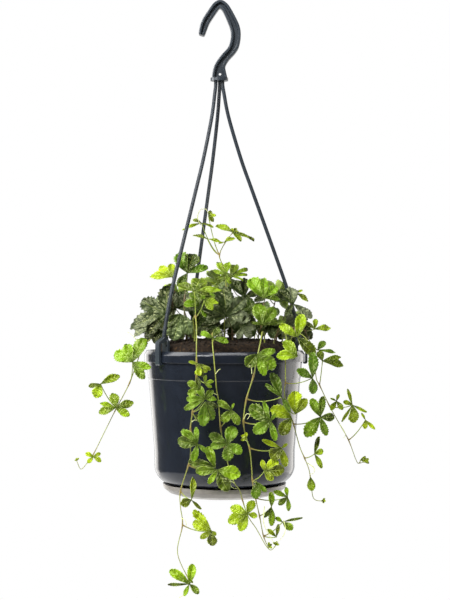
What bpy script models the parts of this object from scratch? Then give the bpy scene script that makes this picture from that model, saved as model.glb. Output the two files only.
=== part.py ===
"""Miniature grape ivy growing in a hanging pot, with its clip-on drip tray, soil and three-armed hanger.

Run it in Blender 4.5: blender --background --python part.py
The row frame has its origin where the hook rests on its rail, +Z up, the plant's best side towards -Y.
The pot, the soil, the plant and the hanger are all parented to an empty at the centre of the pot's rim.
"""

import math
import random
from collections import namedtuple

import bmesh
import bpy
from mathutils import Matrix, Vector

MM = 0.001

# Driving dimensions, in millimetres. Heights are above the top of the pot's rim.
HOOK_SEAT = (-4.3, 0.0, 341.5)
RIM_RADIUS = 80.0
RIM_INSIDE = 74.5
RIM_BAND = 11.0
RIM_EDGE = 1.2
WALL = 1.6
WALL_TOP_RADIUS = 77.8
WALL_LOW_RADIUS = 70.2
WALL_LOW = -99.0
CORNER_RADIUS = 19.0
CORNER_HEIGHT = -114.0
CORNER_DEGREES = (-8, -32, -55, -72)
POT_BASE = -139.0
POT_FOOT_RADIUS = 51.0
SEAM = -27.5
SEAM_STEP = 0.5
TURN_STEPS = 24

TRAY_RIM = -132.4
TRAY_RIM_RADIUS = 61.6
TRAY_BASE = -144.0
TRAY_BASE_RADIUS = 46.0
TRAY_WALL = 1.6
PEG_CIRCLE = 28.0
PEG_RADIUS = 2.2
PEG_HEAD_RADIUS = 3.3
PEG_HEAD_HEIGHT = 3.4
PEG_TIP_RADIUS = 1.4
PEG_COUNT = 3
DRAIN_CIRCLE = 42.0
DRAIN_RADIUS = 3.5
DRAIN_COUNT = 4

SOIL_WALL_LEVEL = -6.0
SOIL_MOUND = 12.0
GAP = 0.3

HOOK_DEPTH = 8.6
HOOK_WEB = 2.8
HOOK_EDGE = 1.7
HOOK_EYE_RADIUS = 1.3
HOOK_EYE = (-4.5, 275.6)
FOOT_CENTRE = -5.2
FOOT_TOP = 272.0
FOOT_THICK = 3.0
FOOT_RADIUS = 8.9
FOOT_DEPTH = 7.0
SOCKET_DEPTH = 2.0
ROD_RADIUS = 1.75
CLIP_WIDTH = 6.6
CLIP_TONGUE = 2.3
CLIP_BELOW_BAND = 2.6
EAR_RADIUS = 4.8
EAR_THICK = 2.4
EAR_HEIGHT = 7.6
EAR_HOLE_RADIUS = 1.3

# Each hanger arm: the way round the rim that its clip sits, in degrees, and where its rod leaves the foot.
Arm = namedtuple("Arm", "name angle start")
ARMS = [
    Arm("hanger_arm_left", 218.5, (-8.8, -1.0)),
    Arm("hanger_arm_back", 118.0, (-4.8, 2.6)),
    Arm("hanger_arm_right", 0.0, (-1.8, -1.0)),
]
# An arm's rod from the foot down: its share of the way out to the clip, and its height.
ROD_ROUTE = [(0.0, 264.0), (0.02, 255.0), (0.055, 240.0), (0.115, 222.0), (0.246, 189.0), (0.381, 160.0),
             (0.7, 92.0), (0.845, 60.0), (0.94, 34.0), (1.0, 13.0)]

LEAF_THICK = 0.7
# Evenly spread leaflets: the angle between them, their lengths from the middle out, and width over length.
FAN_ANGLE = 56.0
FAN_SHARES = (1.0, 0.93, 0.76)
FAN_WIDTH = 0.56
# A leaflet's outline: how far out its waist and shoulder are, as shares of its length, and how wide, as
# shares of its width.
WAIST_REACH = 0.42
SHOULDER_REACH = 0.80
WAIST_WIDTH = 0.84
SHOULDER_WIDTH = 0.92
# A leaflet shorter than this, in millimetres, has a shoulder and no waist, and the shoulder is nearer.
SHORT_LEAFLET = 16.0
SHORT_REACH = 0.66
# The notch between leaflets, as a share of the longest, the rise of their sides and the fall of their tips.
LEAF_CENTRE = 0.13
LEAF_FOLD = 0.22
LEAF_DROOP = 0.16
STALK_RADIUS = 0.6

# The plant was laid out as seen from the front: each place below is (x, depth, z), with x and z as they
# appear on the plane through the pot's axis from this eye point, and depth the distance behind that plane.
EYE = Vector((1.0, -1400.0, 39.0))

# A leaf whose leaflets can be told apart in front: the point of the stem's route that its stalk leaves, its
# hub, how far its face turns from the front and lifts towards the sky in degrees, and its leaflets, each the
# place where its tip appears and its width as a share of its length.
Leaf = namedtuple("Leaf", "at x y z turn lift tips")

# A leaf with evenly spread leaflets: as above, with the length of its middle leaflet, the way that leaflet
# points in degrees clockwise from up as seen from the front, and the number of leaflets.
Fan = namedtuple("Fan", "at x y z size aim turn lift count", defaults=(5,))
Stem = namedtuple("Stem", "name radius route leaves")

STEMS = [
    Stem("stem_trailing_left", 0.9,
         [(-62, -18, -12), (-62, -18, 9), (-72, -21, 12), (-82, -24, 2), (-88, -26, -14), (-95, -27, -33),
          (-102, -28, -47), (-108, -28, -58), (-120, -28, -82), (-131, -28, -104), (-139, -28, -115),
          (-144, -28, -119), (-148, -28, -110)],
         [Leaf(5, -92, -42, -12, -15, 20,
              [(-110, -3, 0.55), (-98, 6, 0.5), (-80, 12, 0.5), (-74, -19, 0.4), (-79, -28, 0.45)]),
          Leaf(7, -124, -32, -34, 0, 20, [(-129, -48, 0.75), (-136, -37, 0.4), (-105, -25, 0.4)]),
          Leaf(7, -109, -34, -58, 0, 20,
               [(-126, -62, 0.5), (-124, -52, 0.3), (-110, -43, 0.6), (-91, -52, 0.45), (-95, -66, 0.5)]),
          Leaf(9, -131, -32, -107, 0, 20,
               [(-137, -113, 0.55), (-139, -103, 0.5), (-124, -103, 0.5), (-123, -111, 0.55)])]),
    Stem("stem_trailing_centre_left", 1.1,
         [(-30, -38, -12), (-30, -38, 16), (-31, -50, 31), (-29, -64, 33), (-28, -77, 22), (-28, -85, 6),
          (-28, -88, -12), (-28, -88, -26), (-30, -88, -45), (-32, -88, -62), (-34, -88, -79),
          (-34, -87, -104),
          (-36, -87, -115), (-44, -86, -141), (-44, -86, -157), (-42, -85, -175), (-47, -84, -203),
          (-36, -84, -229)],
         [Leaf(3, -30, -66, 59, -10, 45, [(-48, 65, 0.4), (-24, 72, 0.65), (-2, 60, 0.3), (-15, 54, 0.45)]),
          Fan(3, -20, -74, 50, 14, 95, 10, 50, 3),
          Leaf(6, -26, -95, -14, 0, 10, [(-36, -12, 0.3), (-14, -20, 0.3), (-25, -26, 0.5)]),
          Leaf(7, -20, -97, -33, 0, 10, [(-19, -25, 0.4), (-11, -31, 0.4), (-13, -38, 0.4)]),
          Leaf(8, -25, -95, -39, 0, 10, [(-37, -44, 0.55), (-37, -32, 0.5), (-27, -27, 0.4)]),
          Leaf(9, -20, -98, -49, 0, 15,
               [(-40, -60, 0.3), (-38, -50, 0.45), (-27, -36, 0.5), (-12, -40, 0.5), (-8, -49, 0.4)]),
          Leaf(9, -19, -105, -52, 10, 15, [(-23, -76, 0.5), (-7, -57, 0.4), (-11, -70, 0.5)]),
          Leaf(10, -27, -97, -94, 0, 10,
               [(-31, -112, 0.4), (-47, -92, 0.62), (-42, -79, 0.4), (-29, -77, 0.3), (-16, -103, 0.35)]),
          Leaf(12, -9, -95, -117, 0, 10, [(-36, -111, 0.32), (-18, -97, 0.4)]),
          Leaf(12, -7, -101, -120, 0, 15, [(-16, -134, 0.35), (-29, -122, 0.42), (16, -125, 0.6),
                                           (2, -142, 0.55)]),
          Leaf(13, -33, -95, -150, 20, 10, [(-44, -154, 0.8), (-31, -127, 0.25), (-24, -160, 0.25)]),
          Leaf(15, -13, -92, -181, 0, 15,
               [(-12, -196, 0.7), (-24, -189, 0.45), (-31, -171, 0.6), (-32, -161, 0.35), (-8, -185, 0.6)]),
          Leaf(17, -35, -88, -234, 0, 20,
               [(-41, -246, 0.35), (-57, -236, 0.14), (-54, -219, 0.38), (-31, -214, 0.42),
                (-25, -243, 0.5)])]),
    Stem("stem_trailing_centre", 1.0,
         [(-11, -52, -12), (-11, -52, 14), (-12, -68, 16), (-12, -80, 6), (-11, -87, -4), (-9, -88, -26),
          (-8, -88, -39), (-6, -88, -51), (-4, -88, -77), (0, -87, -98), (5, -87, -120), (10, -87, -133),
          (15, -87, -140), (18, -88, -150), (24, -88, -167), (32, -89, -179), (41, -89, -195),
          (46, -89, -200),
          (50, -89, -197)],
         [Leaf(2, -12, -78, 12, 0, 30, [(-24, 17, 0.45), (-5, 22, 0.45), (4, 7, 0.4)]),
          Leaf(8, 7, -95, -60, 0, 15, [(-2, -72, 0.65), (-7, -51, 0.4), (9, -53, 0.3), (14, -75, 0.5)]),
          Leaf(9, 3, -97, -94, 0, 15,
               [(4, -111, 0.7), (-14, -96, 0.5), (-15, -84, 0.45), (9, -76, 0.65), (18, -102, 0.6)]),
          Leaf(13, 23, -95, -164, 0, 15,
               [(15, -181, 0.55), (3, -171, 0.55), (6, -157, 0.55), (28, -150, 0.6), (33, -166, 0.6)])]),
    Stem("stem_trailing_centre_right", 1.1,
         [(40, -42, -12), (40, -42, 12), (38, -60, 18), (36, -76, 8), (33, -83, -6), (29, -86, -26),
          (22, -87, -49),
          (19, -87, -72), (22, -86, -89), (25, -86, -98), (27, -85, -116), (28, -85, -131), (31, -83, -148),
          (35, -81, -166), (39, -80, -186), (44, -80, -198)],
         [Leaf(5, 33, -94, -4, 5, 20, [(22, -17, 0.75), (51, -1, 0.4), (50, -19, 0.65), (39, -26, 0.4)]),
          Leaf(6, 57, -91, -47, 10, 15, [(41, -34, 0.25), (48, -22, 0.35), (66, -62, 0.35)]),
          Leaf(7, 46, -94, -71, 5, 15,
               [(30, -84, 0.6), (24, -58, 0.6), (38, -51, 0.22), (51, -64, 0.4), (51, -91, 0.35)]),
          Leaf(9, 57, -89, -98, 5, 15, [(46, -108, 0.9), (37, -91, 0.25), (63, -94, 0.4),
                                        (61, -117, 0.42)]),
          Leaf(11, 40, -94, -121, 0, 15, [(48, -131, 0.6), (37, -110, 0.45), (53, -110, 0.6),
                                          (60, -121, 0.6)]),
          Leaf(11, 32, -90, -132, 0, 10, [(32, -149, 0.6), (42, -142, 0.35)]),
          Leaf(12, 63, -87, -147, 0, 15, [(54, -155, 0.5), (49, -141, 0.35), (61, -137, 0.4),
                                          (65, -161, 0.35)]),
          Leaf(13, 47, -87, -157, 20, 10, [(47, -176, 0.4), (40, -168, 0.35), (46, -142, 0.45)]),
          Leaf(14, 58, -84, -172, 0, 15, [(51, -167, 0.5), (78, -167, 0.13), (68, -180, 0.6)]),
          Leaf(14, 52, -83, -187, 0, 10, [(43, -179, 0.35), (54, -174, 0.3)])]),
    Stem("stem_trailing_right", 1.0,
         [(58, -24, -12), (58, -24, 12), (61, -40, 16), (62, -54, 7), (61, -61, -8), (61, -62, -20),
          (61, -62, -33),
          (60, -62, -44), (64, -61, -59), (69, -60, -74), (75, -59, -96), (80, -58, -108), (84, -57, -118),
          (86, -57, -128), (88, -57, -145), (91, -57, -150), (97, -57, -151)],
         [Leaf(4, 73, -72, -6, 0, 20, [(52, -5, 0.5), (59, 9, 0.5)]),
          Leaf(6, 88, -66, -28, 10, 10, [(72, -20, 0.5), (89, -2, 0.4), (89, -44, 0.6)]),
          Leaf(8, 71, -74, -64, 5, 10, [(69, -41, 0.65), (81, -48, 0.5)]),
          Leaf(8, 67, -70, -68, 5, 10, [(55, -84, 0.65), (47, -57, 0.6)]),
          Leaf(9, 96, -64, -67, 5, 10, [(86, -49, 0.45), (97, -46, 0.35), (110, -68, 0.6), (101, -86, 0.4),
                                         (79, -85, 0.55)]),
          Leaf(11, 90, -60, -104, 10, 15, [(93, -86, 0.25), (99, -101, 0.6), (98, -118, 0.35)]),
          Leaf(13, 86, -62, -127, 0, 10, [(87, -141, 0.6)])]),
    Stem("stem_trailing_far_right", 0.9,
         [(66, -8, -12), (66, -8, 10), (76, -12, 16), (86, -16, 4), (90, -18, -15), (92, -18, -29),
          (95, -18, -35),
          (105, -18, -56), (115, -18, -74), (124, -18, -90), (132, -18, -111), (135, -18, -113),
          (139, -18, -112)],
         [Leaf(6, 98, -25, -11, 0, 30, [(94, -1, 0.6), (116, -6, 0.25), (119, -15, 0.4)]),
          Leaf(7, 112, -24, -51, 0, 15, [(106, -60, 0.5), (106, -48, 0.3), (114, -44, 0.4),
                                         (118, -60, 0.5)]),
          Leaf(7, 128, -22, -55, 0, 15,
               [(128, -73, 0.65), (117, -72, 0.15), (119, -51, 0.5), (122, -39, 0.2), (142, -63, 0.2)]),
          Leaf(9, 141, -20, -70, 0, 15, [(140, -79, 0.6), (137, -63, 0.3), (150, -80, 0.28)]),
          Leaf(11, 136, -20, -110, 0, 15, [(141, -106, 0.3), (144, -112, 0.4)])]),
    Stem("shoot_left", 1.2,
         [(-46, -14, -12), (-46, -14, 14), (-50, -16, 30), (-52, -18, 46), (-50, -18, 58)],
         [Leaf(2, -59, -30, 36, -15, 25, [(-76, 15, 0.5), (-95, 24, 0.4), (-84, 48, 0.5), (-57, 64, 0.5)]),
          Fan(3, -48, -8, 42, 24, 340, -5, 30),
          Leaf(4, -52, -22, 73, -10, 30, [(-74, 75, 0.42), (-66, 82, 0.45), (-54, 86, 0.45)]),
          Fan(2, -72, 4, 24, 20, 250, -25, 45), Fan(1, -66, -30, 21, 15, 225, -20, 15, 4)]),
    Stem("shoot_centre_left", 1.2,
         [(-38, -26, -12), (-38, -26, 14), (-40, -30, 28), (-40, -30, 50), (-38, -26, 66)],
         [Leaf(2, -44, -36, 36, -5, 15, [(-50, 9, 0.7), (-60, 24, 0.5), (-33, 16, 0.6)]),
          Leaf(4, -37, -28, 77, 0, 20, [(-46, 63, 0.5), (-47, 97, 0.6), (-31, 96, 0.75), (-17, 84, 0.4)]),
          Fan(3, -24, -36, 44, 22, 30, 5, 35), Fan(1, -19, -30, 27, 15, 120, 10, 10, 4)]),
    Stem("shoot_tall", 1.0,
         [(0, -10, -12), (0, -10, 30), (2, -10, 60), (-2, -8, 84), (-5, -8, 95), (1, -8, 108),
          (8, -8, 117)],
         [Leaf(2, 1, -12, 75, 0, 30, [(-12, 79, 0.3), (-7, 88, 0.35), (3, 88, 0.4), (6, 66, 0.4),
                                      (-9, 70, 0.3)]),
          Leaf(2, 6, -18, 74, 10, 40, [(12, 85, 0.45), (24, 80, 0.25), (23, 75, 0.25), (19, 70, 0.25)]),
          Leaf(4, -17, -10, 111, 0, 50, [(-31, 115, 0.3), (-2, 107, 0.3)]),
          Leaf(5, 0, -12, 108, 0, 50, [(10, 112, 0.5), (-6, 106, 0.4)]),
          Leaf(6, 8, -10, 118, 0, 40, [(-8, 125, 0.4), (30, 110, 0.2), (17, 109, 0.4)]),
          Leaf(4, -23, -10, 127, 0, 40, [(-42, 120, 0.2), (-32, 130, 0.4), (-11, 123, 0.25)]),
          Fan(4, -16, -6, 134, 8, 75, 0, 30, 3),
          Fan(2, -18, -4, 62, 22, 285, 0, 60)]),
    Stem("shoot_centre", 1.2,
         [(8, -34, -12), (8, -34, 16), (5, -38, 28), (3, -40, 34)],
         [Leaf(3, 2, -48, 34, 0, 20,
               [(-20, 27, 0.4), (-25, 45, 0.5), (-1, 63, 0.55), (22, 51, 0.5), (26, 32, 0.55)]),
          Fan(1, -9, -50, 24, 15, 240, -10, 10, 4), Fan(1, 18, -49, 23, 14, 115, 10, 10, 4)]),
    Stem("shoot_centre_right", 1.2,
         [(34, -22, -12), (34, -22, 14), (37, -28, 24), (39, -30, 44), (40, -28, 50)],
         [Leaf(4, 39, -34, 52, 5, 25, [(25, 71, 0.6), (40, 72, 0.4), (53, 63, 0.5), (55, 52, 0.35)]),
          Leaf(2, 38, -48, 25, 5, 20, [(27, 28, 0.3), (32, 46, 0.6), (52, 41, 0.5), (61, 28, 0.2)]),
          Fan(3, 28, -18, 40, 15, 325, -5, 30, 4)]),
    Stem("shoot_right", 1.2,
         [(52, 2, -12), (52, 2, 14), (60, -6, 34), (65, -12, 44)],
         [Leaf(3, 69, -20, 46, 10, 25, [(60, 34, 0.4), (53, 59, 0.55), (67, 63, 0.55), (87, 31, 0.4)]),
          Leaf(3, 72, -14, 57, 10, 35, [(84, 49, 0.4), (78, 60, 0.35)]),
          Fan(1, 62, -2, 24, 15, 110, 20, 15, 4)]),
    Stem("shoot_far_right", 1.1,
         [(50, -36, -12), (50, -36, 12), (60, -42, 22), (70, -43, 22), (80, -42, 20)],
         [Leaf(3, 73, -52, 13, 10, 15, [(55, 25, 0.45), (76, 36, 0.45), (89, -6, 0.5)]),
          Leaf(4, 90, -42, 21, 10, 30, [(81, 28, 0.4), (91, 31, 0.4), (106, 22, 0.4)]),
          Leaf(4, 93, -46, 0, 5, 25, [(100, 9, 0.5), (111, -2, 0.2)])]),
    Stem("shoot_middle", 1.2,
         [(18, 8, -12), (18, 8, 18), (20, 8, 34), (20, 6, 50)],
         [Leaf(3, 20, 0, 53, 5, 25, [(7, 69, 0.5), (20, 72, 0.4), (33, 58, 0.5), (26, 44, 0.5)]),
          Fan(2, 38, 6, 34, 20, 60, 10, 30),
          Fan(2, -4, 2, 46, 24, 300, 0, 35),
          Fan(1, 16, -6, 34, 20, 180, 0, 25), Fan(3, 8, 16, 62, 15, 330, 0, 40, 4)]),
    Stem("shoot_back_left", 1.2,
         [(-34, 22, -12), (-34, 22, 16), (-38, 28, 32), (-42, 30, 46)],
         [Fan(2, -62, 32, 28, 25, 270, 215, 35), Fan(3, -46, 38, 52, 24, 330, 190, 35),
          Fan(1, -40, 50, 25, 22, 200, 180, 30), Fan(2, -52, 14, 46, 21, 345, -10, 25),
          Fan(1, -30, 8, 30, 15, 70, 0, 15, 4)]),
    Stem("shoot_back", 1.2,
         [(0, 34, -12), (0, 34, 18), (2, 38, 34), (2, 40, 52)],
         [Fan(3, -4, 46, 66, 23, 340, 175, 40), Fan(2, 16, 52, 42, 23, 80, 165, 35),
          Fan(2, -14, 56, 32, 23, 260, 195, 35), Fan(1, -10, 22, 36, 23, 290, 0, 20),
          Fan(1, 8, 24, 27, 16, 160, 0, 10, 4)]),
    Stem("shoot_back_right", 1.2,
         [(38, 24, -12), (38, 24, 16), (46, 28, 32), (50, 28, 46)],
         [Fan(3, 52, 32, 54, 23, 30, 150, 35), Fan(2, 68, 32, 28, 24, 95, 140, 35),
          Fan(2, 54, 46, 26, 20, 150, 150, 30), Fan(2, 66, 14, 24, 25, 110, 10, 20),
          Fan(3, 44, 20, 54, 20, 0, 0, 30), Fan(1, 46, 8, 26, 15, 200, 0, 15, 4),
          Fan(1, 31, 14, 26, 15, 170, 0, 10, 4)]),
    Stem("stem_trailing_back_left", 1.0,
         [(-12, 50, -12), (-12, 50, 12), (-13, 64, 16), (-14, 78, 6), (-14, 86, -8), (-16, 87, -32),
          (-14, 87, -58),
          (-18, 86, -84), (-16, 85, -106)],
         [Fan(4, -4, 94, -20, 20, 170, 175, 25), Fan(5, -32, 93, -42, 19, 240, 190, 20),
          Fan(6, -2, 94, -66, 19, 140, 175, 20), Fan(7, -32, 92, -90, 18, 220, 185, 20)]),
    Stem("stem_trailing_back_right", 1.0,
         [(30, 46, -12), (30, 46, 12), (32, 60, 16), (35, 74, 6), (37, 81, -8), (36, 83, -30),
          (40, 82, -54),
          (36, 82, -78)],
         [Fan(4, 48, 84, -18, 20, 150, 155, 25), Fan(5, 24, 92, -34, 18, 230, 180, 20),
          Fan(6, 54, 84, -60, 19, 130, 155, 20), Fan(7, 34, 90, -84, 17, 190, 170, 20)]),
]
YOUNG_SHOOTS = ("shoot_tall",)

# Colours are linear, as Blender's Principled BSDF takes them: colour, roughness.
PLASTIC = ("charcoal_polypropylene", (0.015, 0.018, 0.024), 0.30)
TRAY_PLASTIC = ("warm_grey_polypropylene", (0.155, 0.142, 0.128), 0.35)
SOIL = ("peat_soil", (0.035, 0.018, 0.010), 0.95)
YOUNG_GREEN = ("young_leaf", (0.200, 0.380, 0.025), 0.45)
MATURE_GREEN = ("mature_leaf", (0.065, 0.110, 0.045), 0.40)


def clear_scene():
    """Removes what the startup file holds."""
    for obj in list(bpy.data.objects):
        bpy.data.objects.remove(obj)


def new_collection(name, parent=None):
    collection = bpy.data.collections.new(name)
    (parent or bpy.context.scene.collection).children.link(collection)
    return collection


def material(colouring):
    """The material of that name, made the first time that it is asked for."""
    name, colour, roughness = colouring
    found = bpy.data.materials.get(name)
    if found is None:
        found = bpy.data.materials.new(name)
        found.use_nodes = True
        shader = found.node_tree.nodes["Principled BSDF"]
        shader.inputs["Base Color"].default_value = (*colour, 1.0)
        shader.inputs["Roughness"].default_value = roughness
        shader.inputs["Metallic"].default_value = 0.0
    return found


def add_object(name, data, collection, parent=None, colouring=None):
    obj = bpy.data.objects.new(name, data)
    collection.objects.link(obj)
    obj.parent = parent
    if colouring:
        data.materials.append(material(colouring))
    return obj


def mesh_from_curve(name, curve):
    """A curve's own surface as a closed mesh, its caps welded to its sides. The curve is used up."""
    carrier = bpy.data.objects.new(name + "_curve", curve)
    bpy.context.scene.collection.objects.link(carrier)
    graph = bpy.context.evaluated_depsgraph_get()
    mesh = bpy.data.meshes.new_from_object(carrier.evaluated_get(graph))
    bpy.data.objects.remove(carrier)
    bpy.data.curves.remove(curve)
    work = bmesh.new()
    work.from_mesh(mesh)
    bmesh.ops.remove_doubles(work, verts=work.verts, dist=0.005 * MM)
    bmesh.ops.recalc_face_normals(work, faces=work.faces)
    work.to_mesh(mesh)
    work.free()
    mesh.name = name
    return mesh


def tube_mesh(name, points, radii, resolution):
    """A round rod along the points (millimetres), with a radius for each."""
    curve = bpy.data.curves.new(name, "CURVE")
    curve.dimensions = "3D"
    curve.bevel_depth = MM
    curve.bevel_resolution = resolution
    curve.use_fill_caps = True
    spline = curve.splines.new("POLY")
    spline.points.add(len(points) - 1)
    for place, point, radius in zip(spline.points, points, radii):
        place.co = (*(Vector(point) * MM), 1.0)
        place.radius = radius
    return mesh_from_curve(name, curve)


def plate_mesh(name, outline, thickness):
    """A flat plate: an outline in the XZ plane (millimetres), centred on Y = 0."""
    curve = bpy.data.curves.new(name, "CURVE")
    curve.dimensions = "2D"
    curve.fill_mode = "BOTH"
    curve.extrude = thickness / 2 * MM
    spline = curve.splines.new("POLY")
    spline.points.add(len(outline) - 1)
    for place, (x, z) in zip(spline.points, outline):
        place.co = (x * MM, z * MM, 0.0, 1.0)
    spline.use_cyclic_u = True
    mesh = mesh_from_curve(name, curve)
    mesh.transform(Matrix.Rotation(math.pi / 2, 4, "X"))
    return mesh


def cylinder_mesh(name, radius, low, high, centre=(0.0, 0.0), sides=16, top_radius=None):
    """An upright cylinder or cone (millimetres)."""
    work = bmesh.new()
    bmesh.ops.create_cone(
        work,
        cap_ends=True,
        segments=sides,
        radius1=radius * MM,
        radius2=(radius if top_radius is None else top_radius) * MM,
        depth=(high - low) * MM,
    )
    bmesh.ops.translate(work, verts=work.verts, vec=Vector((*centre, (low + high) / 2)) * MM)
    mesh = bpy.data.meshes.new(name)
    work.to_mesh(mesh)
    work.free()
    return mesh


def add_turned(name, profile, collection, parent, colouring):
    """A profile (radius, height) turned about the pot's axis, inside, over the rim and down the outside."""
    mesh = bpy.data.meshes.new(name)
    points = [(radius * MM, 0.0, height * MM) for radius, height in profile]
    mesh.from_pydata(points, [(k, k + 1) for k in range(len(points) - 1)], [])
    obj = add_object(name, mesh, collection, parent, colouring)
    screw = obj.modifiers.new("Turn", "SCREW")
    screw.axis = "Z"
    screw.steps = TURN_STEPS
    screw.render_steps = TURN_STEPS
    screw.use_merge_vertices = True
    screw.merge_threshold = 0.00001
    return obj


def add_boolean(obj, operation, collection, solver="EXACT"):
    cut = obj.modifiers.new(operation.title(), "BOOLEAN")
    cut.operation = operation
    cut.operand_type = "COLLECTION"
    cut.collection = collection
    cut.solver = solver
    return cut


def apply_modifiers(obj):
    """Gives the object the mesh that its modifiers make."""
    graph = bpy.context.evaluated_depsgraph_get()
    mesh = bpy.data.meshes.new_from_object(obj.evaluated_get(graph))
    obj.modifiers.clear()
    obj.data = mesh


def join_all(obj, meshes, collection, parent, solver):
    """Makes obj one body with the meshes, by one Boolean union."""
    repeats = new_collection(obj.name + "_repeats")
    for mesh in meshes:
        add_object(mesh.name, mesh, repeats, parent)
    add_boolean(obj, "UNION", repeats, solver)
    apply_modifiers(obj)
    for piece in list(repeats.objects):
        bpy.data.objects.remove(piece)
    bpy.data.collections.remove(repeats)


def hide_cutters(cutters):
    for cutter in cutters.objects:
        cutter.hide_render = True
        cutter.display_type = "WIRE"


def around(circle, count, start=0.0):
    """Centres spaced evenly on a circle."""
    angles = (math.radians(start + 360.0 * k / count) for k in range(count))
    return [(circle * math.cos(a), circle * math.sin(a)) for a in angles]


def wall_radius(height):
    """The outside of the pot's straight wall."""
    share = (-RIM_BAND - height) / (-RIM_BAND - WALL_LOW)
    return WALL_TOP_RADIUS + (WALL_LOW_RADIUS - WALL_TOP_RADIUS) * share


def pot_corner(inset):
    """The rounded lower corner between wall and foot, from the wall down, set in by the wall's thickness."""
    centre = Vector((WALL_LOW_RADIUS - CORNER_RADIUS, CORNER_HEIGHT))
    ways = [(math.cos(math.radians(d)), math.sin(math.radians(d))) for d in CORNER_DEGREES]
    return [tuple(centre + Vector(way) * (CORNER_RADIUS - inset)) for way in ways]


def build_pot(collection, parent):
    """The pot: a thin moulded shell with a turned-down rim band, a fine seam and holes in its base."""
    base_top = POT_BASE + WALL
    inside = [(0.0, base_top), (POT_FOOT_RADIUS - WALL, base_top)]
    inside += pot_corner(WALL)[2::-2]
    inside += [(RIM_INSIDE, -RIM_EDGE)]
    rim = [
        (RIM_INSIDE + RIM_EDGE, 0.0),
        (RIM_RADIUS - RIM_EDGE, 0.0),
        (RIM_RADIUS, -RIM_EDGE),
        (RIM_RADIUS, -RIM_BAND),
        (RIM_RADIUS - WALL, -RIM_BAND),
        (wall_radius(-RIM_BAND), -RIM_BAND + WALL),
    ]
    outside = [
        (wall_radius(SEAM), SEAM),
        (wall_radius(SEAM) - SEAM_STEP, SEAM - SEAM_STEP),
        (wall_radius(WALL_LOW), WALL_LOW),
    ]
    outside += pot_corner(0.0)
    outside += [(POT_FOOT_RADIUS, POT_BASE), (0.0, POT_BASE)]
    pot = add_turned("pot", inside + rim + outside, collection, parent, PLASTIC)
    pot_cutters = new_collection("pot_cutters")
    for k, place in enumerate(around(DRAIN_CIRCLE, DRAIN_COUNT, 30.0)):
        hole = cylinder_mesh(f"drain_{k}", DRAIN_RADIUS, POT_BASE - 1, base_top + 1, place, 8)
        add_object(hole.name, hole, pot_cutters, parent)
    for k, place in enumerate(around(PEG_CIRCLE, PEG_COUNT)):
        hole = cylinder_mesh(f"peg_hole_{k}", PEG_RADIUS + GAP, POT_BASE - 1, base_top + 1, place, 8)
        add_object(hole.name, hole, pot_cutters, parent)
    hide_cutters(pot_cutters)
    add_boolean(pot, "DIFFERENCE", pot_cutters)
    return pot


def build_tray(collection, parent):
    """The drip tray under the pot, with the pegs that snap through the pot's base."""
    floor = TRAY_BASE + TRAY_WALL
    profile = [
        (0.0, floor),
        (TRAY_BASE_RADIUS - 0.6, floor),
        (TRAY_RIM_RADIUS - 5.0, floor + 4.6),
        (TRAY_RIM_RADIUS - TRAY_WALL, TRAY_RIM),
        (TRAY_RIM_RADIUS, TRAY_RIM),
        (TRAY_RIM_RADIUS - 0.8, TRAY_RIM - 4.2),
        (TRAY_RIM_RADIUS - 6.2, TRAY_RIM - 8.6),
        (TRAY_BASE_RADIUS, TRAY_BASE),
        (0.0, TRAY_BASE),
    ]
    tray = add_turned("drip_tray", profile, collection, parent, TRAY_PLASTIC)
    apply_modifiers(tray)
    head_low = POT_BASE + WALL + GAP
    pieces = []
    for k, place in enumerate(around(PEG_CIRCLE, PEG_COUNT)):
        pieces.append(cylinder_mesh(f"peg_{k}", PEG_RADIUS, floor - 0.8, head_low + 0.5, place, 8))
        head_top = head_low + PEG_HEAD_HEIGHT
        pieces.append(
            cylinder_mesh(f"peg_head_{k}", PEG_HEAD_RADIUS, head_low, head_top, place, 8, PEG_TIP_RADIUS)
        )
        pieces.append(cylinder_mesh(f"stand_{k}", PEG_RADIUS + 2.4, floor - 0.8, POT_BASE - GAP, place, 8))
    join_all(tray, pieces, collection, parent, "EXACT")
    return tray


def build_soil(collection, parent, stems):
    """The soil: heaped in the middle, with a plain hole for each stem and room for the pegs' heads."""
    floor = POT_BASE + WALL + GAP
    profile = [(0.0, SOIL_MOUND), (50.0, SOIL_MOUND - 2.5), (64.0, SOIL_MOUND - 5.5),
               (70.4, SOIL_WALL_LEVEL + 2.0), (72.4, SOIL_WALL_LEVEL)]
    profile += pot_corner(WALL + GAP)[0:3:2]
    profile += [(POT_FOOT_RADIUS - WALL - 1.0, floor), (0.0, floor)]
    soil = add_turned("soil", profile, collection, parent, SOIL)
    soil_cutters = new_collection("soil_cutters")
    for k, place in enumerate(around(PEG_CIRCLE, PEG_COUNT)):
        room = cylinder_mesh(f"head_room_{k}", PEG_HEAD_RADIUS + GAP, floor - 2, floor + 4.4, place, 8)
        add_object(room.name, room, soil_cutters, parent)
    for stem in stems:
        root = from_front(stem.route[0])
        hole = cylinder_mesh(
            stem.name + "_hole", stem.radius + 0.5, root.z - GAP, SOIL_MOUND + 9.0, (root.x, root.y), 6
        )
        add_object(hole.name, hole, soil_cutters, parent)
    hide_cutters(soil_cutters)
    add_boolean(soil, "DIFFERENCE", soil_cutters)
    return soil


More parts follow.
